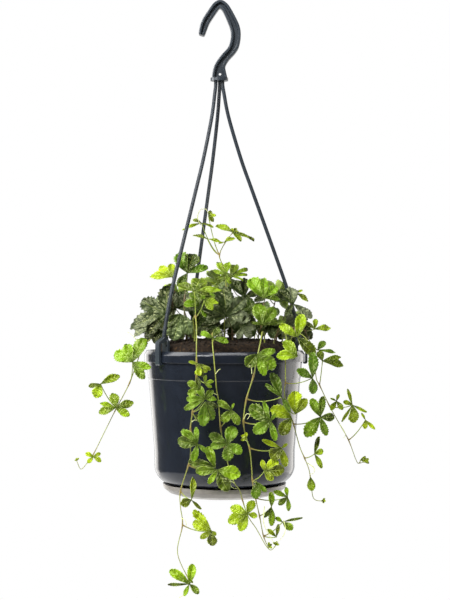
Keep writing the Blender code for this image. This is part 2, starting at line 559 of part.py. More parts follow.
# The hook's centre line from its tip to its foot, each point with its half width: (x, z, half width).
HOOK_LINE = [
    (-22.6, 316.0, 3.3),
    (-20.8, 322.5, 3.9),
    (-18.0, 329.2, 4.0),
    (-10.9, 340.0, 4.0),
    (-7.6, 344.0, 3.9),
    (-4.3, 345.5, 4.0),
    (-1.2, 344.0, 4.0),
    (2.1, 340.0, 4.1),
    (7.5, 329.2, 4.6),
    (10.6, 321.0, 4.9),
    (11.3, 313.0, 4.9),
    (9.8, 304.5, 4.9),
    (6.6, 298.6, 4.5),
    (0.3, 291.6, 4.5),
    (-3.9, 285.0, 5.2),
    (-5.2, 279.2, 6.4),
    (-5.0, 271.0, 7.9),
]


def hook_outline(inset, first, last):
    """The hook's edge, set in by inset, between two points of its centre line."""
    line = HOOK_LINE[first:last]
    left, right = [], []
    for k, (x, z, half) in enumerate(line):
        before = line[max(k - 1, 0)]
        after = line[min(k + 1, len(line) - 1)]
        along = Vector((after[0] - before[0], after[1] - before[1])).normalized()
        side = Vector((-along.y, along.x)) * (half - inset)
        left.append((x + side.x, z + side.y))
        right.append((x - side.x, z - side.y))
    return left + right[::-1]


def build_hook(collection, parent):
    """The hook: an I beam with a raised edge all round, on an oval foot that holds the three arms."""
    beam = plate_mesh("hanger_hook", hook_outline(0.0, 0, len(HOOK_LINE)), HOOK_DEPTH)
    hook = add_object("hanger_hook", beam, collection, parent, PLASTIC)
    foot_low = FOOT_TOP - FOOT_THICK
    foot = cylinder_mesh("hook_foot", FOOT_RADIUS, foot_low, FOOT_TOP, sides=16)
    flatten = Matrix.Diagonal((1.0, FOOT_DEPTH / FOOT_RADIUS, 1.0, 1.0))
    foot.transform(Matrix.Translation((FOOT_CENTRE * MM, 0.0, 0.0)) @ flatten)
    join_all(hook, [foot], collection, parent, "EXACT")
    hook_cutters = new_collection("hook_cutters")
    pocket = plate_mesh("hook_pocket", hook_outline(HOOK_EDGE, 1, len(HOOK_LINE) - 1), HOOK_DEPTH)
    for side in (-1, 1):
        cutter = add_object(f"hook_pocket_{side}", pocket.copy(), hook_cutters, parent)
        cutter.location.y = side * (HOOK_WEB + HOOK_DEPTH) / 2 * MM
    eye = cylinder_mesh("hook_eye", HOOK_EYE_RADIUS, -HOOK_DEPTH, HOOK_DEPTH, sides=8)
    eye.transform(Matrix.Rotation(math.pi / 2, 4, "X"))
    eye_cutter = add_object("hook_eye", eye, hook_cutters, parent)
    eye_cutter.location = Vector((HOOK_EYE[0], 0.0, HOOK_EYE[1])) * MM
    for arm in ARMS:
        socket_top = foot_low + SOCKET_DEPTH
        socket = cylinder_mesh(arm.name + "_socket", ROD_RADIUS + GAP, foot_low - 1, socket_top, arm.start, 8)
        add_object(socket.name, socket, hook_cutters, parent)
    hide_cutters(hook_cutters)
    add_boolean(hook, "DIFFERENCE", hook_cutters)
    return hook


def rod_points(arm):
    """An arm's rod: straight down out of its socket, then out to the top of its clip."""
    a = math.radians(arm.angle)
    start = Vector(arm.start)
    end = Vector((math.cos(a), math.sin(a))) * (RIM_INSIDE + 0.4)
    top = FOOT_TOP - FOOT_THICK + SOCKET_DEPTH - GAP
    points = [Vector((*start, top))]
    for share, height in ROD_ROUTE:
        points.append(Vector((*start.lerp(end, share), height)))
    return points


def clip_meshes(arm):
    """An arm's lower end: a tongue that catches under the rim's band, a bridge over it and an ear inside."""
    outer = RIM_RADIUS + 2 * GAP
    inner = RIM_INSIDE - 1.0
    catch = RIM_RADIUS - 1.4
    foot = -RIM_BAND - CLIP_BELOW_BAND
    tongue = [
        (inner - EAR_THICK + 0.4, 12.6),
        (inner + 2.0, 13.8),
        (outer + CLIP_TONGUE, 9.0),
        (outer + CLIP_TONGUE, foot + 1.2),
        (outer + CLIP_TONGUE - 1.2, foot),
        (catch, foot),
        (catch, -RIM_BAND - 0.6),
        (outer, -RIM_BAND - 0.6),
        (outer, 6.8),
        (inner - 0.2, 10.4),
    ]
    clip = plate_mesh(arm.name + "_clip", tongue, CLIP_WIDTH)
    half_round = [math.radians(180 * k / 6) for k in range(7)]
    ear = [(EAR_RADIUS * math.cos(a), EAR_HEIGHT + EAR_RADIUS * math.sin(a)) for a in half_round]
    ear += [(-EAR_RADIUS, -3.4), (EAR_RADIUS, -3.4)]
    lug = plate_mesh(arm.name + "_ear", ear, EAR_THICK)
    lug.transform(Matrix.Rotation(math.pi / 2, 4, "Z"))
    lug.transform(Matrix.Translation(((inner - EAR_THICK / 2) * MM, 0.0, 0.0)))
    for mesh in (clip, lug):
        mesh.transform(Matrix.Rotation(math.radians(arm.angle), 4, "Z"))
    return [clip, lug]


def build_arm(arm, collection, parent):
    """A hanger arm: a rod and its clip, with a small hole through the ear."""
    points = rod_points(arm)
    tube = tube_mesh(arm.name, points, [ROD_RADIUS] * len(points), 2)
    body = add_object(arm.name, tube, collection, parent, PLASTIC)
    join_all(body, clip_meshes(arm), collection, parent, "EXACT")
    arm_cutters = new_collection(arm.name + "_cutters")
    hole = cylinder_mesh(arm.name + "_hole", EAR_HOLE_RADIUS, RIM_INSIDE - 8.0, RIM_INSIDE - 0.6, sides=8)
    hole.transform(Matrix.Translation((0.0, EAR_RADIUS / 2 * MM, (EAR_HEIGHT - 2.4) * MM)) @ upright_to_x())
    hole.transform(Matrix.Rotation(math.radians(arm.angle), 4, "Z"))
    add_object(hole.name, hole, arm_cutters, parent)
    hide_cutters(arm_cutters)
    add_boolean(body, "DIFFERENCE", arm_cutters)
    return body


def upright_to_x():
    """Turns +Z to +X."""
    return Matrix.Rotation(math.pi / 2, 4, "Y")


def from_front(place):
    """The true point, in millimetres, that appears at this place from the eye point."""
    x, depth, z = place
    nearness = (depth - EYE.y) / -EYE.y
    return Vector((EYE.x + (x - EYE.x) * nearness, depth, EYE.z + (z - EYE.z) * nearness))


def point_on(route, at):
    """The point of a route at a whole or part-way position."""
    k = min(int(at), len(route) - 2)
    return route[k].lerp(route[k + 1], at - k)


def leaf_axes(leaf):
    """Across, along and out of the leaf, as a matrix's columns."""
    turn, lift = math.radians(leaf.turn), math.radians(leaf.lift)
    aim = math.radians(leaf.aim) if isinstance(leaf, Fan) else 0.0
    face = Vector((math.sin(turn) * math.cos(lift), -math.cos(turn) * math.cos(lift), math.sin(lift)))
    wanted = Vector((math.sin(aim), 0.0, math.cos(aim)))
    along = (wanted - face * wanted.dot(face)).normalized()
    return Matrix((along.cross(face), along, face)).transposed()


def fan_leaflets(leaf, chance):
    """(angle, length, width share) of evenly spread leaflets, a little uneven as they grow."""
    middle = (leaf.count - 1) / 2
    made = []
    for k in range(leaf.count):
        share = FAN_SHARES[int(abs(k - middle))]
        angle = math.radians((k - middle) * FAN_ANGLE + chance.uniform(-4, 4))
        made.append((angle, leaf.size * share * chance.uniform(0.93, 1.07), FAN_WIDTH))
    return made


def seen_leaflets(leaf, axes):
    """The same for leaflets whose tips are given as seen: each sight line is followed to the blade."""
    hub = from_front((leaf.x, leaf.y, leaf.z))
    face = axes.col[2]
    made = []
    for x, z, share in leaf.tips:
        sight = Vector((x, 0.0, z)) - EYE
        low, length = hub, 0.0
        for _ in range(3):
            low = hub - face * LEAF_DROOP * length
            tip = EYE + sight * ((low - EYE).dot(face) / sight.dot(face))
            length = (tip - low).length
        made.append((math.atan2((tip - low).dot(axes.col[0]), (tip - low).dot(axes.col[1])), length, share))
    return sorted(made)


def edge_points(angle, length, share, gaps):
    """One leaflet's edge, folded along its rib and clear of its neighbours: gaps are the angles to them."""
    along = Vector((math.sin(angle), math.cos(angle), 0.0))
    across = Vector((math.cos(angle), -math.sin(angle), 0.0))
    reaches = [WAIST_REACH, SHOULDER_REACH] if length > SHORT_LEAFLET else [SHORT_REACH]
    points = []
    for side, gap in ((-1, gaps[0]), (1, gaps[1])):
        row = []
        for reach in reaches:
            wide = {WAIST_REACH: WAIST_WIDTH, SHOULDER_REACH: SHOULDER_WIDTH}.get(reach, 1.0)
            half = min(wide * share / 2, reach * math.tan(min(0.45 * gap, 1.2)))
            rise = LEAF_FOLD * half - LEAF_DROOP * reach * reach
            row.append((along * reach + across * side * half + Vector((0.0, 0.0, rise))) * length)
        points += row if side < 0 else row[::-1]
        if side < 0:
            points.append((along - Vector((0.0, 0.0, LEAF_DROOP))) * length)
    return points


def leaf_outline(leaflets):
    """The edge of a palmate leaf about its hub, in its own axes, clockwise."""
    longest = max(length for _, length, _ in leaflets)
    near = max(LEAF_CENTRE * longest, 2.6 * STALK_RADIUS)
    gaps = []
    for k, (angle, _, _) in enumerate(leaflets):
        after = leaflets[(k + 1) % len(leaflets)][0]
        gaps.append((after - angle) % (2 * math.pi) or 2 * math.pi)
    points = []
    for k, (angle, length, share) in enumerate(leaflets):
        points += edge_points(angle, length, share, (gaps[k - 1], gaps[k]))
        notches = math.ceil(gaps[k] / math.radians(100))
        for j in range(1, notches + 1):
            between = angle + gaps[k] * j / (notches + 1)
            points.append(Vector((math.sin(between), math.cos(between), 0.0)) * near)
    return points


def quarter(point):
    """Which corner of the hub, clockwise from the first quarter, a point about it is nearest to."""
    return int(math.degrees(math.atan2(point.x, point.y)) % 360 // 90)


def leaf_mesh(name, leaf, line, chance):
    """One thin arched blade, cut nearly to its hub between leaflets, with its hub drawn out to a stalk."""
    axes = leaf_axes(leaf)
    hub = line[0]
    leaflets = fan_leaflets(leaf, chance) if isinstance(leaf, Fan) else seen_leaflets(leaf, axes)
    outline = leaf_outline(leaflets)
    corners = [Vector((x, y, 0.0)) * STALK_RADIUS for x, y in ((1, 1), (1, -1), (-1, -1), (-1, 1))]
    work = bmesh.new()
    edge = [work.verts.new((hub + axes @ point) * MM) for point in outline]
    middle = [work.verts.new((hub + axes @ corner) * MM) for corner in corners]
    here = quarter(outline[0])
    for k, vert in enumerate(edge):
        after = (k + 1) % len(edge)
        work.faces.new((middle[here], edge[after], vert))
        while (quarter(outline[after]) - here) % 4 in (1, 2):
            work.faces.new((middle[here], middle[(here + 1) % 4], edge[after]))
            here = (here + 1) % 4
    work.faces.new(middle[::-1])
    under = bmesh.ops.extrude_face_region(work, geom=work.faces[:], use_keep_orig=True)["geom"]
    lowered = [item for item in under if isinstance(item, bmesh.types.BMVert)]
    bmesh.ops.translate(work, verts=lowered, vec=-axes.col[2] * LEAF_THICK * MM)
    square = next(item for item in under if isinstance(item, bmesh.types.BMFace) and len(item.verts) == 4)
    draw_out_stalk(work, square, -axes.col[2], line)
    bmesh.ops.recalc_face_normals(work, faces=work.faces)
    mesh = bpy.data.meshes.new(name)
    work.to_mesh(mesh)
    work.free()
    return mesh


def draw_out_stalk(work, end, way, line):
    """Extrudes the square under the hub, which faces that way, along the stalk's line."""
    offsets = [vert.co - end.calc_center_median() for vert in end.verts]
    for before, point in zip(line, line[1:]):
        turned = way.rotation_difference(point - before)
        end = bmesh.ops.extrude_discrete_faces(work, faces=[end])["faces"][0]
        for vert, offset in zip(end.verts, offsets):
            vert.co = point * MM + turned @ offset


def stalk_points(start, hub, face):
    """A leaf stalk from its hub: it leaves the blade from behind, sags a little and meets the stem."""
    length = (hub - start).length
    bend = (start + hub) / 2 - face * 0.18 * length - Vector((0.0, 0.0, 0.16 * length))
    return [hub, start * 0.25 + bend * 0.5 + hub * 0.25, start]


def build_stem(stem, collection, parent):
    """A leafy stem as one body: its stem, stalks and leaves."""
    chance = random.Random(stem.name)
    route = [from_front(place) for place in stem.route]
    radii = [stem.radius * (1.0 - 0.45 * k / (len(route) - 1)) for k in range(len(route))]
    mature = stem.name.startswith("shoot") and stem.name not in YOUNG_SHOOTS
    colouring = MATURE_GREEN if mature else YOUNG_GREEN
    body = add_object(stem.name, tube_mesh(stem.name, route, radii, 0), collection, parent, colouring)
    leaves = []
    for k, leaf in enumerate(stem.leaves):
        hub = from_front((leaf.x, leaf.y, leaf.z))
        line = stalk_points(point_on(route, leaf.at), hub, leaf_axes(leaf).col[2])
        leaves.append(leaf_mesh(f"{stem.name}_leaf_{k}", leaf, line, chance))
    join_all(body, leaves, collection, parent, "MANIFOLD")
    return body


def shade_smooth_round(obj):
    """Smooth shading, with the hard edges left sharp."""
    obj.data.shade_smooth()
    obj.data.set_sharp_from_angle(angle=math.radians(35))


def main():
    clear_scene()
    parts = new_collection("hanging_grape_ivy")
    rim_centre = bpy.data.objects.new("pot_rim_centre", None)
    parts.objects.link(rim_centre)
    rim_centre.location = -Vector(HOOK_SEAT) * MM
    bpy.context.view_layer.update()
    build_pot(parts, rim_centre)
    build_tray(parts, rim_centre)
    build_soil(parts, rim_centre, STEMS)
    build_hook(parts, rim_centre)
    for arm in ARMS:
        build_arm(arm, parts, rim_centre)
    for stem in STEMS:
        build_stem(stem, parts, rim_centre)
    for obj in parts.objects:
        if obj.type == "MESH":
            shade_smooth_round(obj)


if __name__ == "__main__":
    main()
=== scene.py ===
"""Looks of a miniature grape ivy in its hanging pot, laid out as an add-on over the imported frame.

Places are in millimetres from the centre of the pot's rim, as in the part's own source, and to_row turns them to metres
in the row frame.
"""

import math
import random
from collections import namedtuple

import bmesh
import bpy
from bpy.props import FloatProperty, FloatVectorProperty, IntProperty, PointerProperty
from bpy.types import Operator, Panel, PropertyGroup
from mathutils import Matrix, Vector, noise


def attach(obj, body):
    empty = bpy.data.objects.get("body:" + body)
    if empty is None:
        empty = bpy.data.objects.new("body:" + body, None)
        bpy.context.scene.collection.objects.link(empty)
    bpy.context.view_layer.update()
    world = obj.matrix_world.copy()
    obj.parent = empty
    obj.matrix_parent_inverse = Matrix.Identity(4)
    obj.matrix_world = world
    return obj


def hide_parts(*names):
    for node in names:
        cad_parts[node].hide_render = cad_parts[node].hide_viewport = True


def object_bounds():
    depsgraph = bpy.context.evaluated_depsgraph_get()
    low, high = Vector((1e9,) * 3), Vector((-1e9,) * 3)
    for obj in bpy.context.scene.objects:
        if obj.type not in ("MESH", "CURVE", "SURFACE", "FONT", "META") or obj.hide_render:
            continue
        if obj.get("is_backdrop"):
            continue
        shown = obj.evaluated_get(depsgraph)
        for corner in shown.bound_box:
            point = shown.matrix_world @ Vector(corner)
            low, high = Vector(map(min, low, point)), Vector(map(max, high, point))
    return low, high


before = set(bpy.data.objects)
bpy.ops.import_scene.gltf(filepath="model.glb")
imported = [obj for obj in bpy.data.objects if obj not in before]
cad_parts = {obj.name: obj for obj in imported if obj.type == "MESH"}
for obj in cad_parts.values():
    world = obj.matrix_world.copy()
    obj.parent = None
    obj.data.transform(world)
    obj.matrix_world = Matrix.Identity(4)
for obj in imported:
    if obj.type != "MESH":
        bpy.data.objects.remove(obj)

bl_info = {
    "name": "Hanging grape ivy",
    "version": (1, 0, 0),
    "blender": (4, 5, 0),
    "location": "View3D > Sidebar > Grape ivy",
    "description": "Dresses a hanging pot of miniature grape ivy over its packed frame",
    "category": "Add Mesh",
}

MM = 0.001
SHARP_ANGLE = math.radians(38)

# Vertices nearer to each other than this are one, on turned shells and at a leaflet's base and tip.
SHELL_MERGE = 0.01
LEAFLET_MERGE = 0.02

# The pot, its tray, the soil and the hanger. What the part's source also names is the same there, but for HOOK_EDGE,
# which is wider here, and HOOK_LINE, whose first point is added here to round the hook's tip.
HOOK_SEAT = Vector((-4.3, 0.0, 341.5))
RIM_RADIUS = 80.0
RIM_INSIDE = 74.5
RIM_BAND = 11.0
RIM_EDGE = 1.2
RIM_SHOULDER = 3.6
WALL = 1.6
WALL_TOP_RADIUS = 77.8
WALL_LOW_RADIUS = 70.2
WALL_LOW = -99.0
CORNER_RADIUS = 19.0
CORNER_HEIGHT = -114.0
CORNER_FROM = -6.0
CORNER_SWEEP = -68.0
CORNER_STEPS = 9
POT_BASE = -139.0
POT_FOOT_RADIUS = 51.0
SEAM = -27.5
SEAM_STEP = 0.5
SEAM_DROP = 0.3
TRAY_RIM = -132.4
TRAY_RIM_RADIUS = 61.6
TRAY_BASE = -144.0
TRAY_BASE_RADIUS = 46.0
PEG_CIRCLE = 28.0
PEG_RADIUS = 2.2
PEG_HEAD_RADIUS = 3.3
PEG_HEAD_HEIGHT = 3.4
PEG_TIP_RADIUS = 1.4
PEG_COUNT = 3
STAND_RADIUS = 4.6
DRAIN_CIRCLE = 42.0
DRAIN_RADIUS = 3.5
DRAIN_COUNT = 4
DRAIN_FROM = 30.0
GAP = 0.3
# How far one piece of a body is sunk into the next, and a cutter stands out of what it cuts.
SINK = 0.5
CUTTER_REACH = 1.0
ROUND_SEGMENTS = 24
HOOK_DEPTH = 8.6
HOOK_WEB = 2.8
HOOK_EDGE = 2.4
HOOK_CHAMFER = 0.8
# The hook is solid for its first steps, and then its web sinks in over as many more.
HOOK_SOLID_STEPS = 3
HOOK_EYE_RADIUS = 1.3
HOOK_EYE = (-4.5, 275.6)
FOOT_CENTRE = -5.2
FOOT_TOP = 272.0
FOOT_THICK = 3.0
FOOT_RADIUS = 8.9
FOOT_DEPTH = 7.0
FOOT_SEGMENTS = 64
SOCKET_DEPTH = 2.0
ROD_RIB = 1.5
HANGER_STEPS = 5
CLIP_WIDTH = 6.6
CLIP_TONGUE = 2.3
CLIP_BELOW_BAND = 2.6
EAR_RADIUS = 4.8
EAR_THICK = 2.4
EAR_HEIGHT = 7.6
EAR_HOLE_RADIUS = 1.3
EAR_STEPS = 16
EAR_CUTTER = 20.0

# The mound of soil, as its slope in (radius, height) from the middle to the wall. It is lumpy above the given height.
SOIL_SLOPE = [(0.0, 12.0), (50.0, 9.5), (64.0, 6.5), (70.4, -4.0), (72.4, -6.0)]
SOIL_RADIUS = 72.4
SOIL_RINGS = 30
SOIL_SEGMENTS = 120
LUMPY_ABOVE = -20.0
LUMP_WIDTH = 9.0
SMALL_LUMP_WIDTH = 3.5
SMALL_LUMP_SHARE = 0.6
SMALL_LUMP_SHIFT = (7.0, 3.0, 1.0)
CRUMB_SEED = 5
CRUMB_REACH = 73.0
# The ranges of a crumb's height over the soil, its size, its longest turn, and its flatness in depth and height.
CRUMB_LIFT = (-0.8, 0.9)
CRUMB_SIZES = (0.5, 1.5)
CRUMB_TURNS = (0.0, 3.0)
CRUMB_DEPTHS = (0.5, 1.0)
CRUMB_HEIGHTS = (0.4, 0.9)

Arm = namedtuple("Arm", "name angle start")
ARMS = [
    Arm("left", 218.5, (-8.8, -1.0)),
    Arm("back", 118.0, (-4.8, 2.6)),
    Arm("right", 0.0, (-1.8, -1.0)),
]
# A rod's way down, as the share of its way out to the clip, and its height. It ends this far out of the rim's inside.
ROD_ROUTE = [(0.0, 264.0), (0.02, 255.0), (0.055, 240.0), (0.115, 222.0), (0.246, 189.0), (0.381, 160.0),
             (0.7, 92.0), (0.845, 60.0), (0.94, 34.0), (1.0, 13.0)]
ROD_END = 0.4
# The middle line of the hook from its tip to its foot, as (x, height, half width).
HOOK_LINE = [(-23.1, 314.4, 2.4), (-22.6, 316.0, 3.3), (-20.8, 322.5, 3.9), (-18.0, 329.2, 4.0), (-10.9, 340.0, 4.0),
             (-7.6, 344.0, 3.9), (-4.3, 345.5, 4.0), (-1.2, 344.0, 4.0), (2.1, 340.0, 4.1), (7.5, 329.2, 4.6),
             (10.6, 321.0, 4.9), (11.3, 313.0, 4.9), (9.8, 304.5, 4.9), (6.6, 298.6, 4.5), (0.3, 291.6, 4.5),
             (-3.9, 285.0, 5.2), (-5.2, 279.2, 6.4), (-5.0, 271.0, 7.9)]

# Evenly spread leaflets, with the ranges of their unevenness, and the leaf's own fold and droop. The fold is the
# source's and is taken FOLD_SHARES times here.
FAN_ANGLE = 56.0
FAN_SHARES = (1.0, 0.93, 0.76)
FAN_WIDTH = 0.56
FAN_TURNS = (-4, 4)
FAN_SIZES = (0.93, 1.07)
LEAF_FOLD = 0.22
LEAF_DROOP = 0.16

# The plant was laid out as seen from this eye point: each place is (x, depth, z), with x and z as they appear on the
# plane through the pot's axis, and depth the true distance behind that plane.
EYE = Vector((1.0, -1400.0, 39.0))

# A leaf whose leaflets can be told apart: the place on its stem, its hub, the turn and lift of its face in degrees, and
# its leaflets, each the place where its tip appears and its width as a share of its length.
Leaf = namedtuple("Leaf", "at x y z turn lift tips")

# A leaf with evenly spread leaflets: its middle leaflet's length, and the way that one points in degrees.
Fan = namedtuple("Fan", "at x y z size aim turn lift count", defaults=(5,))
Stem = namedtuple("Stem", "name radius route leaves")

